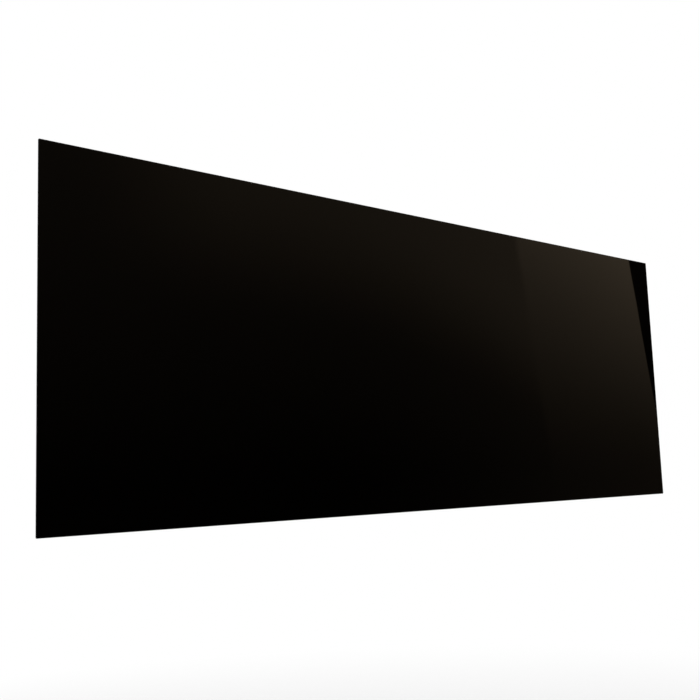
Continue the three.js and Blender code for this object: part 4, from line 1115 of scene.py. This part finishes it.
def objectPlace(tree):
    # x, y and z in the object's own metres
    split = tree.nodes.new("ShaderNodeSeparateXYZ")
    feed(tree, split, {0: addNode(tree, "TexCoord", {}, "Object")})
    return split.outputs


def seenDirectly(tree):
    # 1 for camera, glossy and transmission rays
    ray = tree.nodes.new("ShaderNodeLightPath").outputs
    seen = mathNode(tree, "MAXIMUM", ray["Is Camera Ray"], ray["Is Glossy Ray"])
    return mathNode(tree, "MAXIMUM", seen, ray["Is Transmission Ray"])


def makeWorld(s):
    world = bpy.data.worlds.new("room")
    bpy.context.scene.world = world
    world.use_nodes = True
    tree = world.node_tree
    tree.nodes.clear()
    strength = mathNode(tree, "MULTIPLY_ADD", seenDirectly(tree), 1.0 - s.room, s.room)
    light = addNode(tree, "Background", {"Color": white, "Strength": strength})
    feed(tree, tree.nodes.new("ShaderNodeOutputWorld"), {"Surface": light})


def stageMesh(name, points, faces, material, glossyOnly=False):
    mesh = bpy.data.meshes.new(name)
    mesh.from_pydata(np.asarray(points, float).reshape(-1, 3).tolist(), [], faces)
    mesh.materials.append(material)
    obj = placed(name, mesh)
    if glossyOnly:
        for ray in ("camera", "diffuse", "transmission", "volume_scatter", "shadow"):
            setattr(obj, f"visible_{ray}", False)
    return obj


def makeFloor(s):
    z, h = cadBox[0].z - s.floorDrop, s.floorHalf
    material, tree, shader = newMaterial("floorPaint")
    feed(tree, shader, {"Base Color": s.floorTone, "Roughness": s.floorRough})
    x, y, _ = objectPlace(tree)
    away = mathNode(tree, "SQRT", mathNode(tree, "MULTIPLY_ADD", x, x, mathNode(tree, "MULTIPLY", y, y)))
    fade = mapped(tree, away, *s.floorFade, 0.0, 1.0, soft)
    glow = addNode(tree, "Emission", {"Color": white, "Strength": 1.0})
    share = mathNode(tree, "MULTIPLY", seenDirectly(tree), fade)
    mix = addNode(tree, "MixShader", {0: share, 1: shader.outputs[0], 2: glow})
    feed(tree, tree.nodes["Material Output"], {"Surface": mix})
    floor = stageMesh("floor", [(-h, -h, z), (h, -h, z), (h, h, z), (-h, h, z)], [(0, 1, 2, 3)], material)
    floor.visible_glossy = False


surroundSet = Sizes(
    # places on the mirrored surround are slopes from the glass's normal: to the right, and up
    tint=(1.0, 0.775, 0.53),
    level=0.002, rise=0.16,  # the left field, at the horizon and per unit of upward slope
    lift=0.0368, liftOver=(0.777, 1.582),  # a little brighter towards the soft upright edge
    patch=0.0723, patchOver=(0.435, 0.682), patchSoft=0.104, patchEdge=(0.2852, 0.1065, -0.3269),
    patchMiddle=0.5,
    field=0.0322, fieldRise=0.25, fieldPower=1.68, fieldHeight=(-0.03, 0.376), fieldTop=1.3,
    fieldLean=0.95, fieldMiddle=1.365,
    edge=1.298, edgeLean=-0.163, edgeSoft=0.01,
    wedge=1.639, wedgeLean=0.191, wedgeSoft=0.003, wedgeLevel=0.03,
    leastAhead=0.5,
)
mirroredSet = Sizes(
    # what the glass mirrors in the other views, in the same slopes
    warmRight=(0.1, 0.35, 1.9, 2.5), warmUp=(-0.3, -0.12, 0.45, 0.8),  # the warm part fades in and out here
    wall=0.035,
    strip=0.55, stripOver=(-1.3, -1.05, -0.7, 0.0),
    ground=0.5, groundOver=(-0.1, -1.3),
    ceiling=0.45, ceilingOver=(0.5, 1.6),
)


def surroundGlow(s, far):
    # left field = level + rise x up + lift, with a paler patch above a curved edge; right field = (field +
    # fieldRise x height^power) x lean; a soft upright edge parts them, and a dark wedge closes the right
    material, tree, _ = newMaterial("surroundGlow")
    tree.nodes.clear()

    def do(operation, *values):
        return mathNode(tree, operation, *values)

    def step(value, start, end, low=0.0, high=1.0):
        return mapped(tree, value, start, end, low, high, soft)

    def band(value, rising, full, falling, gone):
        return do("MULTIPLY", step(value, rising, full), step(value, falling, gone, 1.0, 0.0))

    x, y, z = objectPlace(tree)
    ahead = do("MAXIMUM", do("MULTIPLY", y, -1.0), s.leastAhead)
    right, up = do("DIVIDE", x, ahead), do("DIVIDE", z, ahead)

    left = do("MULTIPLY_ADD", do("MAXIMUM", up, 0.0), s.rise, s.level)
    left = do("MULTIPLY_ADD", step(right, *s.liftOver), s.lift, left)
    start, slope, bend = s.patchEdge
    across = do("SUBTRACT", right, s.patchMiddle)
    edge = do("MULTIPLY_ADD", do("MULTIPLY_ADD", across, bend, slope), across, start)
    patch = step(up, do("SUBTRACT", edge, s.patchSoft), do("ADD", edge, s.patchSoft), 0.0, s.patch)
    left = do("MULTIPLY_ADD", patch, step(right, *s.patchOver), left)

    foot, head = s.fieldHeight
    height = do("DIVIDE", do("MAXIMUM", do("SUBTRACT", up, foot), 0.0), head - foot)
    risen = do("POWER", do("MINIMUM", height, s.fieldTop), s.fieldPower)
    lean = do("MULTIPLY_ADD", do("SUBTRACT", right, s.fieldMiddle), s.fieldLean, 1.0)
    field = do("MULTIPLY", do("MULTIPLY_ADD", risen, s.fieldRise, s.field), lean)
    fromEdge = do("SUBTRACT", right, do("MULTIPLY_ADD", up, s.edgeLean, s.edge))
    warm = do("MULTIPLY_ADD", do("SUBTRACT", field, left), step(fromEdge, -s.edgeSoft, s.edgeSoft), left)
    wedge = do("MULTIPLY_ADD", up, s.wedgeLean, right)
    warm = do("MULTIPLY", warm, step(wedge, s.wedge, s.wedge + s.wedgeSoft, 1.0, s.wedgeLevel))

    plain = do("MULTIPLY_ADD", band(right, *far.stripOver), far.strip, far.wall)
    plain = do("MAXIMUM", plain, step(up, *far.groundOver, 0.0, far.ground))
    plain = do("MAXIMUM", plain, step(up, *far.ceilingOver, 0.0, far.ceiling))
    inside = do("MULTIPLY", band(right, *far.warmRight), band(up, *far.warmUp))
    plainLight = addNode(tree, "Emission", {"Color": white, "Strength": plain})
    warmLight = addNode(tree, "Emission", {"Color": (*s.tint, 1), "Strength": warm})
    mix = addNode(tree, "MixShader", {0: inside, 1: plainLight, 2: warmLight})
    feed(tree, tree.nodes.new("ShaderNodeOutputMaterial"), {"Surface": mix})
    return material


def makeSurround(s, glow):
    # the front half of a large sphere, seen only in reflections: place = radius x (sine of heading x cosine
    # of height, -cosine of heading x cosine of height, sine of height)
    heading, height = np.radians(np.meshgrid(np.linspace(-92, 92, 49), np.linspace(-89.9, 89.9, 41)))
    level = np.cos(height)
    place = np.stack([np.sin(heading) * level, -np.cos(heading) * level, np.sin(height)], -1)
    stageMesh("surround", s.domeRadius * place, gridFaces(*heading.shape), glow, True)


flagSet = Sizes(radius=3.0, reach=(12.0, 100.0), height=(-0.8, 1.8), steps=16)  # reach in degrees


def makeFlag(s):
    # a curved black card behind and to the left, which keeps the white room out of the glass's ground edge:
    # place = radius x (-sine, cosine) of the heading, which counts from the wall's normal to the left
    material, tree, shader = newMaterial("flagBlack")
    feed(tree, shader, {"Base Color": black, "Roughness": 1.0, "Specular IOR Level": 0.0})
    heading, height = np.meshgrid(np.radians(np.linspace(*s.reach, s.steps)), s.height)
    place = np.stack([-s.radius * np.sin(heading), s.radius * np.cos(heading), height], -1)
    stageMesh("flag", place, gridFaces(*heading.shape), material, True)


lampSet = Sizes(
    # place, size, power, and whether it shows in reflections; each points at the middle of the wall face
    keyLamp=((1.9, 1.6, 1.9), (3.2, 2.4), 34, True),
    sideLamp=((-2.1, 1.1, 0.9), (2.2, 2.6), 18, False),
    frontLamp=((0.4, -2.4, 2.2), (2.4, 1.6), 20, False),
)


def areaLamp(name, place, size, power, glossy):
    data = bpy.data.lights.new(name, "AREA")
    data.shape = "RECTANGLE"
    data.size, data.size_y = size
    data.energy = power
    lamp = placed(name, data)
    lamp.location = place
    lamp.rotation_mode = "QUATERNION"
    lamp.rotation_quaternion = (-Vector(place)).to_track_quat("-Z", "Y")
    lamp.visible_glossy = glossy


makeWorld(studioSet)
makeFloor(studioSet)
makeSurround(studioSet, surroundGlow(surroundSet, mirroredSet))
makeFlag(flagSet)
for lampName, row in lampSet.items():
    areaLamp(lampName, *row)
bpy.context.scene.view_settings.view_transform = "Standard"
print("studio ready")
